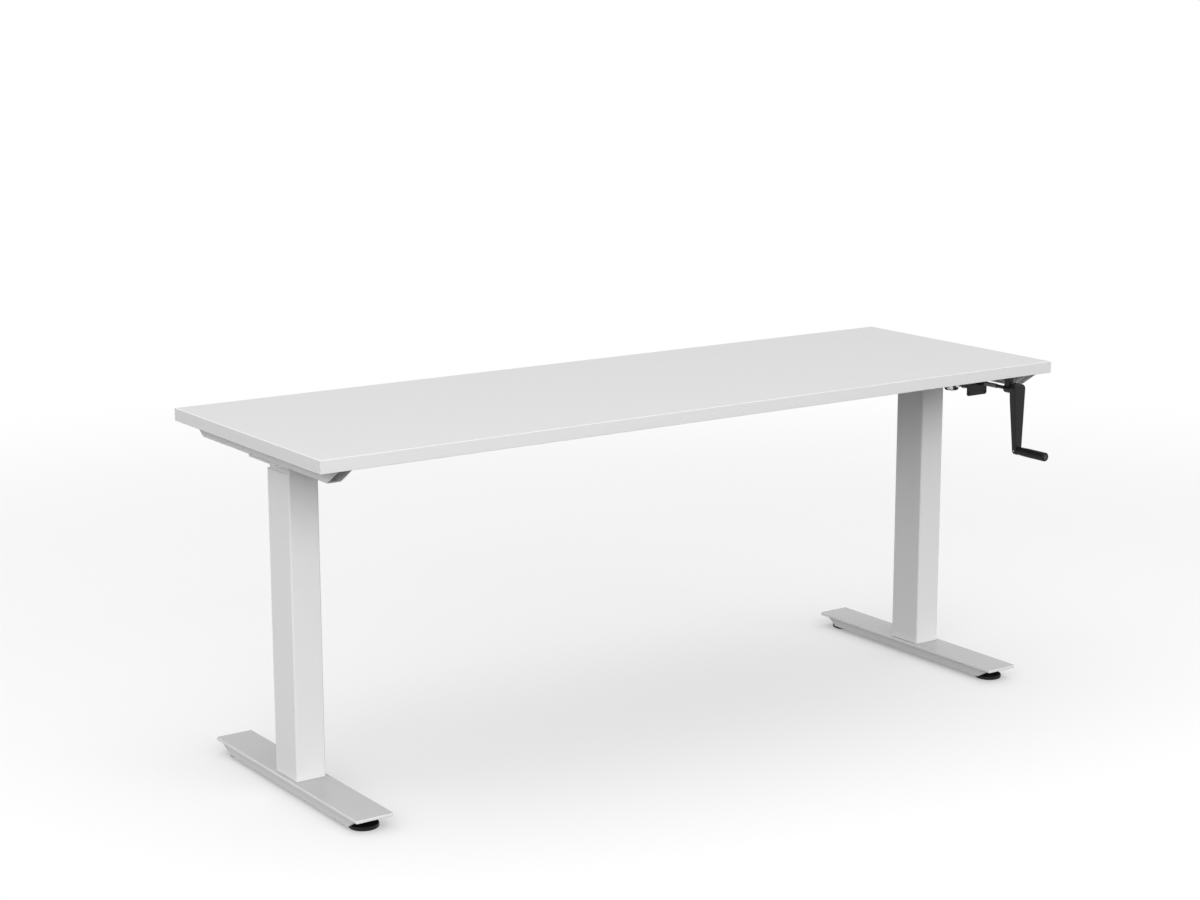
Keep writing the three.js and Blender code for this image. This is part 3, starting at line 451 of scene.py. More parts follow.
def combine(piece, tool, operation):
    """Joins a tool to the piece, cuts it away or keeps what they share, and removes the tool."""
    step = piece.modifiers.new("combine", "BOOLEAN")
    step.operation = operation
    step.solver = "EXACT"
    step.object = tool
    apply_modifier(piece, step)
    bpy.data.objects.remove(tool)


def screws(name, body, places, facing, radius, height, slot="bright_steel", material=screw_zinc):
    """Screw heads at the places given, standing on a face that looks along facing."""
    facing = Vector(facing)
    heads = []
    for number, spot in enumerate(places):
        spot = Vector(spot)
        head = bar(f"{name}_{number}", radius, spot, spot + facing * height, 24)
        round_edges(
            head,
            lambda edge: all(
                (vertex.co - spot).dot(facing) > height * head_top_share for vertex in edge.verts
            ),
            height * head_round_share, 3,
        )
        socket_floor = spot + facing * height * socket_floor_share
        above = spot + facing * height * socket_cutter_share
        cutter = bar("socket", radius * socket_width_share, socket_floor, above, 6)
        combine(head, cutter, "DIFFERENCE")
        heads.append(head)
    bpy.ops.object.select_all(action="DESELECT")
    for head in heads:
        head.select_set(True)
    bpy.context.view_layer.objects.active = heads[0]
    bpy.ops.object.join()
    whole = bpy.context.object
    whole.name = name
    whole.data.name = name
    return mount(whole, body, slot, material)


web_screw_shares = (0.1, 0.32, 0.7, 0.9)
web_screw_radius = 0.0055
web_screw_height = 0.0007
for side in ("left", "right"):
    low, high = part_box(f"{side}_side_bracket")
    web = [low.y + bracket_rake, high.y - bracket_rake]
    web_x = (low.x + high.x) / 2
    spots = [(web_x, web[0] + share * (web[1] - web[0]), low.z) for share in web_screw_shares]
    screws(
        f"{side}_bracket_screws", "top_frame", spots, (0, 0, -1),
        web_screw_radius, web_screw_height,
    )

# Head plates. Laser-cut 4 mm plates welded on the inner columns and bolted up to the bracket and
# to the two cross rails.
plate_corner = 0.005
plate_arris = 0.0004
bolt_radius = 0.0048
bolt_height = 0.0032
bolt_shift = 0.001
for side in ("left", "right"):
    low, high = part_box(f"{side}_head_plate")
    plate = block(f"{side}_head_plate_coated", low, high)
    round_edges(plate, lambda edge: runs_along(edge, 2), plate_corner, 6)
    soften(plate, plate_arris)
    mount(plate, "top_frame", "white_powder_coat", powder, f"{side}_head_plate")
    bracket_low, bracket_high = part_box(f"{side}_side_bracket")
    column_low, column_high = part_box(f"{side}_inner_column")
    bracket_x = (bracket_low.x + bracket_high.x) / 2
    column_x = (column_low.x + column_high.x) / 2
    front_y = (low.y + column_low.y) / 2 + bolt_shift
    rear_y = (high.y + column_high.y) / 2 - bolt_shift
    spots = [(x, y, low.z) for x in (column_x, bracket_x) for y in (front_y, rear_y)]
    screws(f"{side}_head_plate_bolts", "top_frame", spots, (0, 0, -1), bolt_radius, bolt_height)


# Columns, guide liners and cross rails. Rectangular steel tubes with rounded corners, the frame
# ones powder coated. The inner column slides in a plastic liner pressed into the outer one.
def tube(name, node, axis, radius, wall, segments=6):
    """A rectangular tube in the place of a node."""
    low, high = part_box(node)
    piece = block(name, low, high)
    round_edges(piece, lambda edge: runs_along(edge, axis), radius, segments)
    remove_faces(piece, lambda face: abs(face.normal[axis]) > facing_share)
    thicken(piece, wall)
    return piece


column_coat = surface("column_powder_coat", coat_white, 0.28, 0.0009, 0.00002, 0.006, gloss=0.5)
natural_plastic = surface("natural_plastic", (0.72, 0.71, 0.67), 0.45, 0.0008, 0.00002, 0.03)
outer_corner, outer_wall = 0.004, 0.0018
liner_corner, liner_wall = 0.0019, 0.0012
inner_corner, inner_wall = 0.003, 0.002
cross_rail_corner, cross_rail_wall = 0.0025, 0.002
window_radius = 0.0056
window_overrun = 0.01
for side in ("left", "right"):
    outer = tube(f"{side}_outer_tube", f"{side}_outer_column", 2, outer_corner, outer_wall, 8)
    soften(outer, plate_arris)
    mount(outer, f"{side}_base", "white_powder_coat", column_coat, f"{side}_outer_column")
    liner = tube(f"{side}_liner_sleeve", f"{side}_guide_liner", 2, liner_corner, liner_wall)
    mount(liner, f"{side}_base", "guide_plastic", natural_plastic, f"{side}_guide_liner")
    inner = tube(f"{side}_inner_tube", f"{side}_inner_column", 2, inner_corner, inner_wall)
    low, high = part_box(f"{side}_inner_column")
    shaft_low, shaft_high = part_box("cross_shaft")
    shaft_line = (shaft_low + shaft_high) / 2
    inside = Vector(((low.x + high.x) / 2, shaft_line.y, shaft_line.z))
    window = bar("window", window_radius, inside, Vector((0, inside.y, inside.z)), 32)
    combine(inner, window, "DIFFERENCE")
    if side == "right":
        front = Vector((inside.x, low.y - window_overrun, inside.z))
        combine(inner, bar("window", window_radius, inside, front, 32), "DIFFERENCE")
    soften(inner, sheet_arris)
    mount(inner, "top_frame", "white_powder_coat", column_coat, f"{side}_inner_column")
for end in ("front", "rear"):
    rail = tube(f"{end}_rail_tube", f"{end}_cross_rail", 0, cross_rail_corner, cross_rail_wall)
    mount(rail, "top_frame", "white_powder_coat", powder, f"{end}_cross_rail")

# Foot plates. Flat steel bars 6.5 mm thick with ground edges. The top face has a smoother coat
# than the edges, painted mid grey as painted shade from the worktop and a painted dim reflection.
# The edges are as white as the columns welded on it.
plate_round = 0.003
plate_edge = 0.0012
plate_top_share = 0.8
# The mid grey of the top face is painted shade and a painted reflection; the real coat there is
# white.
shaded_plate_top = surface("plate_top_painted_shade", (0.46, 0.46, 0.46), 0.08, 0.004, 0.00001, 0.004, gloss=0.4)
for side in ("left", "right"):
    low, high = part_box(f"{side}_foot_plate")
    plate = block(f"{side}_foot_bar", low, high)
    round_edges(plate, lambda edge: runs_along(edge, 2), plate_round, 5)
    soften(plate, plate_edge, 4)
    plate.data.materials.append(shaded_plate_top)
    plate.data.materials.append(column_coat)
    paint_faces(plate, lambda face: face.normal.z < plate_top_share)
    mount(plate, f"{side}_base", "white_powder_coat", shaded_plate_top, f"{side}_foot_plate")

# Foot rails. Channels folded from 3 mm sheet, open towards the floor, with slanted ends and a
# threaded boss inside for each levelling foot.
rail_wall = 0.003
rail_rake = 0.024
rail_bend = 0.001
boss_radius = 0.009
boss_foot = 0.0123
stem_hole = 0.0053
overrun = 0.001
rail_coat = surface("rail_powder_coat", (0.76, 0.76, 0.76), 0.32, 0.0009, 0.00002, 0.006, gloss=0.4)
for side in ("left", "right"):
    low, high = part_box(f"{side}_foot_rail")
    rail = block(f"{side}_rail_channel", low, high)
    round_edges(
        rail,
        lambda edge: runs_along(edge, 1) and edge.verts[0].co.z > (low.z + high.z) / 2,
        rail_bend, 3,
    )
    remove_faces(
        rail, lambda face: face.normal.z < -facing_share or abs(face.normal.y) > facing_share,
    )
    thicken(rail, rail_wall)
    for end, outward in ((low.y, -1), (high.y, 1)):
        cut_plane(rail, (0, end, high.z), (0, outward * (high.z - low.z), -rail_rake))
    for end in ("front", "rear"):
        foot_low, foot_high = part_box(f"{side}_{end}_levelling_foot")
        axle = (foot_low + foot_high) / 2
        boss_top = Vector((axle.x, axle.y, high.z - overrun))
        boss = bar("boss", boss_radius, Vector((axle.x, axle.y, boss_foot)), boss_top)
        combine(rail, boss, "UNION")
        bore_top = Vector((axle.x, axle.y, high.z + overrun))
        combine(rail, bar("bore", stem_hole, Vector((axle.x, axle.y, 0)), bore_top), "DIFFERENCE")
    soften(rail, plate_arris)
    mount(rail, f"{side}_base", "white_powder_coat", rail_coat, f"{side}_foot_rail")


# Levelling feet. Moulded black pads, 57 mm across, each on a threaded steel stem. The stems screw
# into the bosses of the foot rails.
weld_distance = 1e-6


def turned(name, profile, sides=64):
    """A solid turned about the Z axis from points of radius and height. Where the last point is
    the first one, the piece is a ring with an open bore."""
    bpy.ops.object.select_all(action="DESELECT")
    radius, level = profile[0]
    bpy.ops.mesh.primitive_circle_add(
        vertices=sides, radius=radius, fill_type="NGON", location=(0, 0, level),
    )
    piece = settle(name)
    begin_edit(piece)
    bpy.ops.mesh.select_all(action="SELECT")
    for next_radius, next_level in profile[1:]:
        rise = (0, 0, next_level - level)
        bpy.ops.mesh.extrude_region_move(TRANSFORM_OT_translate={"value": rise})
        ratio = next_radius / radius
        bpy.ops.transform.resize(value=(ratio, ratio, 1), center_override=(0, 0, next_level))
        radius, level = next_radius, next_level
    if profile[0] == profile[-1]:
        pick(piece, "FACE", lambda face: len(face.verts) > 4)
        bpy.ops.mesh.delete(type="ONLY_FACE")
    bpy.ops.mesh.select_all(action="SELECT")
    bpy.ops.mesh.remove_doubles(threshold=weld_distance)
    bpy.ops.mesh.normals_make_consistent(inside=False)
    end_edit()
    return piece


def arc(centre, radius, start, end, steps):
    """Points of an arc in a profile, from one angle to another in degrees."""
    turns = [math.radians(start + (end - start) * step / steps) for step in range(steps + 1)]
    across, up = centre
    return [(across + radius * math.cos(turn), up + radius * math.sin(turn)) for turn in turns]


def put(piece, place, pin=None, along=None):
    """Moves a piece that is drawn about the Z axis to its place. Its X then points along pin and
    its Z along the other direction."""
    turn = Matrix.Identity(3)
    if along is not None:
        along = Vector(along).normalized()
        pin = Vector(pin).normalized()
        turn = Matrix((pin, along.cross(pin), along)).transposed()
    piece.data.transform(Matrix.Translation(place) @ turn.to_4x4())
    return piece


pad_black = surface("black_pad", (0.01, 0.01, 0.01), 0.5, 0.0012, 0.00004, 0.1, gloss=0.3)
pad_radius = 0.0285
pad_edge = 0.0015
pad_top = 0.008
hub_radius = 0.012
hub_top = 0.012
stem_radius = 0.005
thread_depth = 0.0005
thread_pitch = 0.0015
groove_share = 0.4
pad_hollow = 0.003
hub_chamfer = 0.0006
stem_chamfer = 0.0008
for side in ("left", "right"):
    for end in ("front", "rear"):
        node = f"{side}_{end}_levelling_foot"
        low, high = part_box(node)
        axle = Vector(((low.x + high.x) / 2, (low.y + high.y) / 2, 0))
        profile = [(pad_radius - pad_hollow, 0.0)]
        profile += arc((pad_radius - pad_edge, pad_edge), pad_edge, -90, 0, 4)
        profile += arc((pad_radius - pad_edge, pad_top - pad_edge), pad_edge, 0, 68, 4)
        profile += [(hub_radius, hub_top - hub_chamfer), (hub_radius - hub_chamfer, hub_top)]
        profile += [(stem_radius, hub_top)]
        level = hub_top
        while level + thread_pitch < high.z:
            profile.append((stem_radius - thread_depth, level + thread_pitch * groove_share))
            profile.append((stem_radius, level + thread_pitch))
            level += thread_pitch
        profile.append((stem_radius - stem_chamfer, high.z))
        foot = put(turned(f"{side}_{end}_pad", profile, 64), axle)
        mount(foot, f"{side}_{end}_foot", "black_plastic", pad_black, node)

# Crank arm. A cast lever, black coated, tapering from the boss on the crank shaft to the eye of
# the grip pin, with a flat front and a sloping back.
cast_black = surface("black_coat", (0.009, 0.009, 0.009), 0.36, 0.0007, 0.00003, 0.12, gloss=0.28)
named_joints = {joint["name"]: joint for joint in frame["joints"]}
crank_axis = named_joints["crank_turn"]["pos_m"]
grip_axis = named_joints["grip_spin"]["pos_m"]
low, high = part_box("crank_arm")
arm_half_width = 0.0158
arm_top_height = 0.014
arm_corner = 0.011
arm_tip_radius = 0.0095
arm_top_thickness = 0.0195
arm_tip_thickness = 0.012
arm_shoulder = 0.022
arm_round = 0.0028
arm_boss_radius = 0.011
boss_blend = 0.0035
boss_sink = 0.001
boss_chamfer = 0.0006
boss_arris = 0.0002
tolerance = 1e-4
shaft_line = Vector((crank_axis[0], 0, crank_axis[2]))
eye_line = Vector((grip_axis[0], 0, grip_axis[2]))
arm_front = low.y
rear_top = arm_front + arm_top_thickness
arm = bar(
    "crank_lever", arm_tip_radius,
    eye_line + Vector((0, arm_front, 0)), eye_line + Vector((0, rear_top, 0)), 64,
)
begin_edit(arm)
pick(arm, "VERT", lambda vertex: vertex.co.z > eye_line.z + tolerance)
ratio = arm_corner / arm_tip_radius
bpy.ops.transform.resize(value=(ratio, 1, ratio), center_override=eye_line)
rise = shaft_line - eye_line + Vector((0, 0, arm_top_height - arm_corner))
bpy.ops.transform.translate(value=rise)
for sign in (-1, 1):

    def on_upper_side(vertex):
        return vertex.co.z > shaft_line.z and (vertex.co.x - shaft_line.x) * sign > tolerance

    pick(arm, "VERT", on_upper_side)
    bpy.ops.transform.translate(value=(sign * (arm_half_width - arm_corner), 0, 0))
end_edit()
shoulder = Vector((0, rear_top, shaft_line.z - arm_shoulder))
tip = Vector((0, arm_front + arm_tip_thickness, low.z))
slope = (shoulder - tip).cross(Vector((1, 0, 0)))
cut_plane(arm, shoulder, slope if slope.y > 0 else -slope)
soften(arm, arm_round, 5, 60)
boss_length = high.y - rear_top + boss_sink
boss_profile = [(arm_boss_radius + boss_blend, 0.0)]
boss_profile += arc((arm_boss_radius + boss_blend, boss_sink + boss_blend), boss_blend, 270, 180, 5)
boss_profile += [(arm_boss_radius, boss_length - boss_arris)]
boss_profile += [(arm_boss_radius - boss_chamfer, boss_length)]
boss = turned("boss", boss_profile, 64)
put(boss, shaft_line + Vector((0, rear_top - boss_sink, 0)), (1, 0, 0), (0, 1, 0))
combine(arm, boss, "UNION")
mount(arm, "crank", "black_metal", cast_black, "crank_arm")

# Crank grip. A black moulded handle with a bore for its pin. It swells towards its end, and a
# small black cap closes the recess of the pin's head.
grip_black = surface("black_grip", (0.009, 0.009, 0.009), 0.45, 0.0009, 0.00003, 0.1, gloss=0.2)
cap_black = surface("black_cap", (0.035, 0.035, 0.035), 0.5, 0.0009, 0.00002, 0.1)
bright_steel = surface("bright_steel", (0.66, 0.67, 0.68), 0.25, 0.0004, 0.00001, 0.04, metal=1.0)
low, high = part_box("crank_grip")
grip_length = high.y - low.y
root_radius = 0.0085
end_radius = 0.0097
root_round = 0.0008
end_round = 0.003
grip_bore = 0.0045
recess_radius = 0.0058
recess_depth = 0.0016
cap_fit = 0.0001
cap_setback = 0.0014
cap_side = 0.0008
cap_shoulder = (0.0052, 0.0012)
cap_crown = (0.003, 0.0013)
profile = [(grip_bore, 0.0), (root_radius - root_round, 0.0)]
profile += arc((root_radius - root_round, root_round), root_round, -60, 0, 3)
swell_steps = 14
swell_share = 0.45
for step in range(1, swell_steps):
    share = step / swell_steps
    bulge = math.sin(math.pi / 2 * min(1, share / swell_share))
    swollen = root_radius + (end_radius - root_radius) * bulge
    profile.append((swollen, share * (grip_length - end_round)))
profile += arc((end_radius - end_round, grip_length - end_round), end_round, 0, 90, 6)
recess_floor = grip_length - recess_depth
profile += [(recess_radius, grip_length), (recess_radius, recess_floor)]
profile += [(grip_bore, recess_floor), (grip_bore, 0.0)]
grip = turned("grip_handle", profile, 64)
put(grip, eye_line + Vector((0, high.y, 0)), (1, 0, 0), (0, -1, 0))
mount(grip, "grip", "black_plastic", grip_black, "crank_grip")
cap_radius = recess_radius - cap_fit
cap_seat = low.y + cap_setback
cap_profile = [(cap_radius, 0), (cap_radius, cap_side), cap_shoulder, cap_crown]
cap = turned("grip_end_cap", cap_profile, 48)
put(cap, eye_line + Vector((0, cap_seat, 0)), (1, 0, 0), (0, -1, 0))
mount(cap, "grip", "black_plastic", cap_black)

# Grip pins. The grip turns on a shouldered steel pin that is riveted into the eye of the arm. A
# small pressed cross pin keeps it from turning, and its bright end shows on the arm's side.
grip_rear = high.y
low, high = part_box("grip_pin")
pin_radius = 0.004
rivet_radius = 0.003
rivet_dome = 0.001
pin_head = 0.0055
pin_head_height = 0.003
pin_chamfer = 0.0004
rivet_top = high.y - rivet_dome
pin_profile = [
    (pin_head - pin_chamfer, low.y), (pin_head, low.y + pin_chamfer),
    (pin_head, low.y + pin_head_height), (pin_radius, low.y + pin_head_height),
    (pin_radius, grip_rear), (rivet_radius, grip_rear), (rivet_radius, rivet_top),
]
for turn in (25, 50, 75):
    across = rivet_radius * math.cos(math.radians(turn))
    pin_profile.append((across, rivet_top + rivet_dome * math.sin(math.radians(turn))))
pin = turned("grip_shoulder_pin", pin_profile, 48)
put(pin, eye_line, (1, 0, 0), (0, 1, 0))
mount(pin, "crank", "bright_steel", bright_steel, "grip_pin")
lock_radius = 0.0016
lock_setback = 0.0036
lock_stand = 0.0002
lock_reach = arm_tip_radius + lock_stand
lock_side = lock_reach - pin_chamfer
lock_tip = lock_radius - pin_chamfer
lock_profile = [(lock_tip, -lock_reach), (lock_radius, -lock_side)]
lock_profile += [(lock_radius, lock_side), (lock_tip, lock_reach)]
lock = turned("grip_lock_pin", lock_profile, 24)
lock_y = (arm_front + rear_top) / 2 - lock_setback
put(lock, eye_line + Vector((0, lock_y, 0)), (0, 0, 1), (1, 0, 0))
mount(lock, "crank", "bright_steel", bright_steel)

# Crank hanger. A black casting screwed under the front edge of the board, whose barrel carries
# the front end of the crank shaft in a plastic bush.
low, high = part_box("crank_hanger")
hanger_width = 0.014
hanger_depth = 0.015
post_setback = 0.0065
flange_thickness = 0.003
barrel_radius = 0.0095
barrel_length = 0.022
post_round = 0.002
flange_round = 0.004
post_gap = 0.0001
casting_arris = 0.0005
bush_fit = 0.0001
bore_overrun = 0.01
bush_low, bush_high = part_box("hanger_bush")
bush_radius = (bush_high.x - bush_low.x) / 2
post_front = low.y + post_setback
hanger = block(
    "crank_hanger_casting",
    Vector((shaft_line.x - hanger_width / 2, post_front, shaft_line.z)),
    Vector((shaft_line.x + hanger_width / 2, post_front + hanger_depth, high.z - post_gap)),
)
round_edges(hanger, lambda edge: runs_along(edge, 2), post_round, 4)
flange = block("flange", Vector((low.x, post_front, high.z - flange_thickness)), high)
round_edges(flange, lambda edge: runs_along(edge, 2), flange_round, 5)
combine(hanger, flange, "UNION")
barrel_front = Vector((shaft_line.x, low.y, shaft_line.z))
barrel_rear = barrel_front + Vector((0, barrel_length, 0))
barrel = bar("barrel", barrel_radius, barrel_front, barrel_rear, 48)
combine(hanger, barrel, "UNION")
bore_front = barrel_front - Vector((0, bore_overrun, 0))
bore_rear = barrel_front + Vector((0, barrel_length + hanger_depth + bore_overrun, 0))
combine(hanger, bar("bore", bush_radius + bush_fit, bore_front, bore_rear, 48), "DIFFERENCE")
soften(hanger, casting_arris)
mount(hanger, "top_frame", "black_metal", cast_black, "crank_hanger")
flange_screw_setback = 0.018
flange_screw_y = post_front + flange_screw_setback
flange_screw_offset = 0.0165
flange_screw_radius = 0.0035
flange_screw_height = 0.002
spots = [
    (shaft_line.x + side * flange_screw_offset, flange_screw_y, high.z - flange_thickness)
    for side in (-1, 1)
]
screws(
    "hanger_screws", "top_frame", spots, (0, 0, -1), flange_screw_radius, flange_screw_height,
    "black_metal", cast_black,
)

# Gearbox. A black casting under the board, open at the front, closed by a plate with rounded
# corners and four small screws. Two long screws hold it up to the board.
low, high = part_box("gearbox_housing")
cover_low, cover_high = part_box("gearbox_cover")
output_axis = named_joints["gearbox_output_turn"]["pos_m"]
case_height = 0.0375
case_round = 0.002
case_arris = 0.0006
case_rear_wall = 0.008
lobe_length = 0.023
pocket_radius = 0.009
output_bore_radius = 0.0048
input_bore_radius = 0.0043
lid_corner = 0.005
lid_hole_radius = 0.0045
body_bottom = high.z - case_height
lobe_radius = output_axis[2] - low.z
case = block("gearbox_case", Vector((low.x, low.y, body_bottom)), high)
round_edges(case, lambda edge: runs_along(edge, 1), case_round, 4)
lobe_front = Vector((output_axis[0], low.y, output_axis[2]))
lobe_rear = lobe_front + Vector((0, lobe_length, 0))
combine(case, bar("lobe", lobe_radius, lobe_front, lobe_rear, 64), "UNION")
for centre in (Vector(crank_axis), Vector(output_axis)):
    start = Vector((centre.x, low.y - bore_overrun, centre.z))
    end = Vector((centre.x, high.y - case_rear_wall, centre.z))
    combine(case, bar("pocket", pocket_radius, start, end, 48), "DIFFERENCE")
end = Vector((output_axis[0], high.y + bore_overrun, output_axis[2]))
combine(case, bar("bore", output_bore_radius, lobe_front, end, 48), "DIFFERENCE")
start = Vector((crank_axis[0], low.y, crank_axis[2]))
end = Vector((crank_axis[0], high.y - case_rear_wall / 2, crank_axis[2]))
combine(case, bar("bore", input_bore_radius, start, end, 48), "DIFFERENCE")
soften(case, case_arris)
mount(case, "top_frame", "black_metal", cast_black, "gearbox_housing")
lid = block("gearbox_lid", cover_low, cover_high)
round_edges(lid, lambda edge: runs_along(edge, 1), lid_corner, 6)
start = Vector((crank_axis[0], cover_low.y - bore_overrun, crank_axis[2]))
end = Vector((crank_axis[0], cover_high.y + bore_overrun, crank_axis[2]))
combine(lid, bar("hole", lid_hole_radius, start, end, 48), "DIFFERENCE")
soften(lid, case_arris, 3)
mount(lid, "top_frame", "black_metal", cast_black, "gearbox_cover")
lid_screw_inset = 0.0058
lid_screw_radius = 0.0026
lid_screw_height = 0.0014
spots = [
    (x, cover_low.y, z)
    for x in (cover_low.x + lid_screw_inset, cover_high.x - lid_screw_inset)
    for z in (cover_low.z + lid_screw_inset, cover_high.z - lid_screw_inset)
]
screws(
    "gearbox_lid_screws", "top_frame", spots, (0, -1, 0), lid_screw_radius, lid_screw_height,
    "black_metal", cast_black,
)
case_screw_inset = 0.004
case_screw_radius = 0.0028
case_screw_height = 0.002
spots = [
    (x, (low.y + high.y) / 2, body_bottom)
    for x in (low.x + case_screw_inset, high.x - case_screw_inset)
]
screws("gearbox_screws", "top_frame", spots, (0, 0, -1), case_screw_radius, case_screw_height)

# Crank shaft. A black oxidised hexagonal bar from the gear in the gearbox to the crank arm. A grey
# sleeve is crimped on its middle, in front of the collar.
low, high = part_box("crank_shaft")
bar_radius = (high.z - low.z) / 2
bar_chamfer = 0.0006
sleeve_setback = 0.0675
sleeve_length = 0.038
sleeve_wall = 0.001
sleeve_front = low.y + sleeve_setback
sleeve_rear = sleeve_front + sleeve_length
sleeve_radius = bar_radius + sleeve_wall
sleeve_grey = surface("grey_sleeve", (0.3, 0.3, 0.3), 0.4, 0.0005, 0.00001, 0.06)
drive = [(bar_radius - bar_chamfer, low.y), (bar_radius, low.y + bar_chamfer)]
drive += [(bar_radius, sleeve_front - bar_chamfer), (sleeve_radius, sleeve_front)]
drive += [(sleeve_radius, sleeve_rear - bar_chamfer), (bar_radius, sleeve_rear)]
drive += [(bar_radius, high.y - bar_chamfer), (bar_radius - bar_chamfer, high.y)]
crank_bar = put(turned("crank_drive_bar", drive, 6), shaft_line, (1, 0, 0), (0, 1, 0))
crank_bar.data.materials.append(cast_black)
crank_bar.data.materials.append(sleeve_grey)
paint_faces(crank_bar, lambda face: sleeve_front < face.calc_center_median().y < sleeve_rear)
mount(crank_bar, "crank", "black_metal", cast_black, "crank_shaft")

# Collar on the crank shaft and bush in the hanger. The collar is turned from black plastic and the
# bush from natural plastic. They keep the shaft from sliding.
low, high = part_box("crank_shaft_collar")
collar_radius = (high.z - low.z) / 2
collar_length = high.y - low.y
collar_chamfer = 0.0006
collar_face = collar_radius - collar_chamfer
shaft_fit = 0.00415
running_gap = 0.0002
ring = [(collar_face, 0), (collar_radius, collar_chamfer)]
ring += [(collar_radius, collar_length - collar_chamfer), (collar_face, collar_length)]
ring += [(shaft_fit, collar_length), (shaft_fit, 0), (collar_face, 0)]
collar = turned("crank_shaft_ring", ring, 48)
put(collar, shaft_line + Vector((0, low.y, 0)), (1, 0, 0), (0, 1, 0))
mount(collar, "crank", "guide_plastic", pad_black, "crank_shaft_collar")
bush_length = bush_high.y - bush_low.y
bush_bore = shaft_fit + running_gap
wall = [(bush_radius, 0), (bush_radius, bush_length), (bush_bore, bush_length), (bush_bore, 0)]
bush = turned("hanger_bush_sleeve", wall + wall[:1], 48)
put(bush, shaft_line + Vector((0, bush_low.y, 0)), (1, 0, 0), (0, 1, 0))
mount(bush, "top_frame", "guide_plastic", natural_plastic, "hanger_bush")

# Universal joints. Each has two forged yokes with black hubs and bright ears, and a ground cross.
# The slanted shaft between them joins the gearbox's output to the lower input shaft of the leg.
oxide_black = (0.012, 0.012, 0.013)
fork_steel = surface("black_oxide_steel", oxide_black, 0.4, 0.0006, 0.00002, 0.15, gloss=0.3)
yoke_radius = 0.009
yoke_hub = 0.005
fork_depth = 0.009
ear_inside = 0.0063
ear_half_width = 0.0037
ear_end = 0.0056
ear_round_share = 0.98
cross_pin = 0.0015
cross_reach = 0.008
cross_block = 0.004
cross_arris = 0.0008
tight_fit = 0.0003
loose_fit = 0.00055
fork_corner = 0.002
socket_radius = 0.0043
socket_depth = 0.004
screw_hole = 0.0016
cutter_reach = 0.02
hub_reach = 0.03
bright_reach = 0.0015
yoke_length = fork_depth + yoke_hub
front_centre = Vector(named_joints["gearbox_output_turn"]["pos_m"])
rear_centre = Vector(named_joints["leg_input_turn"]["pos_m"])
slant = Vector(named_joints["joint_shaft_turn"]["axis"])
level_axis = Vector((0, 1, 0))
bend_pin = slant.cross(level_axis).normalized()
straight_pin = level_axis.cross(bend_pin).normalized()


def yoke(name, hole, swing):
    """A yoke with its ears along X, its joint centre at the origin and its hub towards -Z."""
    fork = bar(name, yoke_radius, Vector((0, 0, -yoke_length)), Vector((0, 0, ear_end)), 48)
    ears = block(
        "ears", Vector((-cutter_reach, -ear_half_width, -fork_depth - overrun)),
        Vector((cutter_reach, ear_half_width, ear_end)),
    )
    round_edges(
        ears,
        lambda edge: runs_along(edge, 0) and edge.verts[0].co.z > 0,
        ear_half_width * ear_round_share, 6,
    )
    hub = block(
        "hub", Vector((-cutter_reach, -cutter_reach, -hub_reach)),
        Vector((cutter_reach, cutter_reach, -fork_depth)),
    )
    combine(ears, hub, "UNION")
    combine(fork, ears, "INTERSECT")
    gap = block(
        "gap", Vector((-ear_inside, -cutter_reach, -fork_depth)),
        Vector((ear_inside, cutter_reach, ear_end + bore_overrun)),
    )
    round_edges(gap, lambda edge: runs_along(edge, 1) and edge.verts[0].co.z < 0, fork_corner, 4)
    combine(fork, gap, "DIFFERENCE")
    slot = bar("slot", hole, Vector((-cutter_reach, 0, 0)), Vector((cutter_reach, 0, 0)), 32)
    if swing > 0:
        begin_edit(slot)
        pick(slot, "VERT", lambda vertex: vertex.co.z > same_place)
        bpy.ops.transform.translate(value=(0, 0, swing))
        pick(slot, "VERT", lambda vertex: vertex.co.z < -same_place)
        bpy.ops.transform.translate(value=(0, 0, -swing))
        end_edit()
    combine(fork, slot, "DIFFERENCE")
    screw_level = -fork_depth - yoke_hub / 2
    screw_floor = Vector((0, yoke_radius - overrun, screw_level))
    screw_top = Vector((0, yoke_radius + bore_overrun, screw_level))
    combine(fork, bar("set_screw", screw_hole, screw_floor, screw_top, 6), "DIFFERENCE")
    socket_floor = Vector((0, 0, -yoke_length + socket_depth))
    below = Vector((0, 0, -yoke_length - bore_overrun))
    combine(fork, bar("socket", socket_radius, below, socket_floor, 32), "DIFFERENCE")
    soften(fork, sheet_arris)
    return fork


def cross(name):
    """The cross of a universal joint, with its pins along X and Y."""
    low = Vector((-cross_block, -cross_block, -cross_block))
    piece = block(name, low, -low)
    soften(piece, cross_arris, 3)
    for way in (Vector((1, 0, 0)), Vector((0, 1, 0))):
        combine(piece, bar("pin", cross_pin, way * -cross_reach, way * cross_reach, 32), "UNION")
    return piece


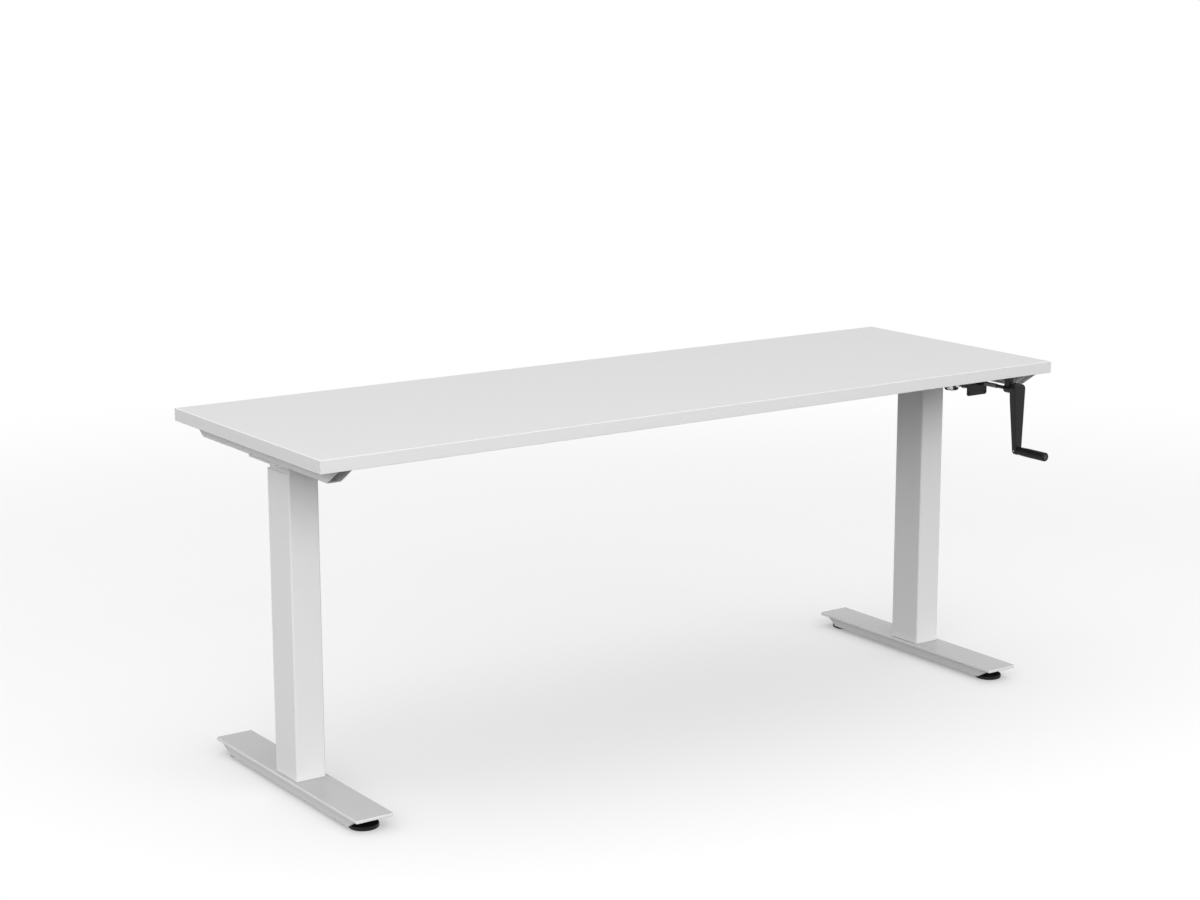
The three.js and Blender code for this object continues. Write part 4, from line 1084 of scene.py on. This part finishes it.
swing = cross_reach * math.tan(slant.angle(level_axis))
tight, loose = cross_pin + tight_fit, cross_pin + loose_fit
forks = (
    ("output_fork", front_centre, level_axis, "gearbox_output", "gearbox_output_yoke"),
    ("slanted_front_fork", front_centre, -slant, "slanted_shaft", "joint_shaft_front_yoke"),
    ("slanted_rear_fork", rear_centre, slant, "slanted_shaft", "joint_shaft_rear_yoke"),
    ("leg_input_fork", rear_centre, -level_axis, "leg_input", "leg_input_yoke"),
)
for name, centre, along, body, node in forks:
    if body == "slanted_shaft":
        fork = put(yoke(name, loose, swing), centre, bend_pin, along)
    else:
        fork = put(yoke(name, tight, 0), centre, straight_pin, along)
    fork.data.materials.append(fork_steel)
    fork.data.materials.append(bright_steel)

    def on_ears(face):
        height = (face.calc_center_median() - centre).dot(along.normalized())
        return height > -fork_depth + bright_reach

    paint_faces(fork, on_ears)
    mount(fork, body, "black_metal", fork_steel, node)
for name, centre, along, body, node in (
    ("front_cross", front_centre, level_axis, "gearbox_output", "front_joint_cross"),
    ("rear_cross", rear_centre, -level_axis, "leg_input", "rear_joint_cross"),
):
    spider = put(cross(name), centre, straight_pin, along)
    mount(spider, body, "bright_steel", bright_steel, node)
rod_radius = 0.004
rod_chamfer = 0.0004
rod_seat = 0.0037
rod_half = (rear_centre - front_centre).length / 2 - (yoke_length - rod_seat)
rod_profile = [(rod_radius - rod_chamfer, -rod_half), (rod_radius, -rod_half + rod_chamfer)]
rod_profile += [(rod_radius, rod_half - rod_chamfer), (rod_radius - rod_chamfer, rod_half)]
rod = turned("slanted_rod", rod_profile, 48)
put(rod, (front_centre + rear_centre) / 2, bend_pin, slant)
mount(rod, "slanted_shaft", "bright_steel", bright_steel, "joint_shaft")

# Shafts, gears with their housings, spindles, nuts and nut tubes. The plain nodes have the right
# shape and get their own metals: drawn bar, oiled gear steel, rolled spindle steel and bronze.
gear_steel = surface("oiled_gear_steel", (0.2, 0.2, 0.21), 0.38, 0.0005, 0.00002, 0.15, metal=0.9)
spindle_steel = surface("spindle_steel", (0.5, 0.5, 0.51), 0.3, 0.0006, 0.00002, 0.08, metal=1.0)
bronze = surface("nut_bronze", (0.6, 0.42, 0.2), 0.35, 0.0006, 0.00002, 0.1, metal=1.0)
node_metals = {
    bright_steel: ("cross_shaft", "leg_input_shaft", "gearbox_output_shaft"),
    spindle_steel: ("left_spindle", "right_spindle"),
    bronze: ("left_spindle_nut", "right_spindle_nut"),
    gear_steel: (
        "left_bevel_housing", "right_bevel_housing", "left_nut_tube", "right_nut_tube",
        "left_spindle_gear", "right_spindle_gear", "left_cross_pinion", "right_cross_pinion",
        "leg_input_pinion", "crank_gear", "output_gear",
    ),
}
for metal, names in node_metals.items():
    for name in names:
        node = frame["nodes"][name]
        node.material_slots[0].material = metal
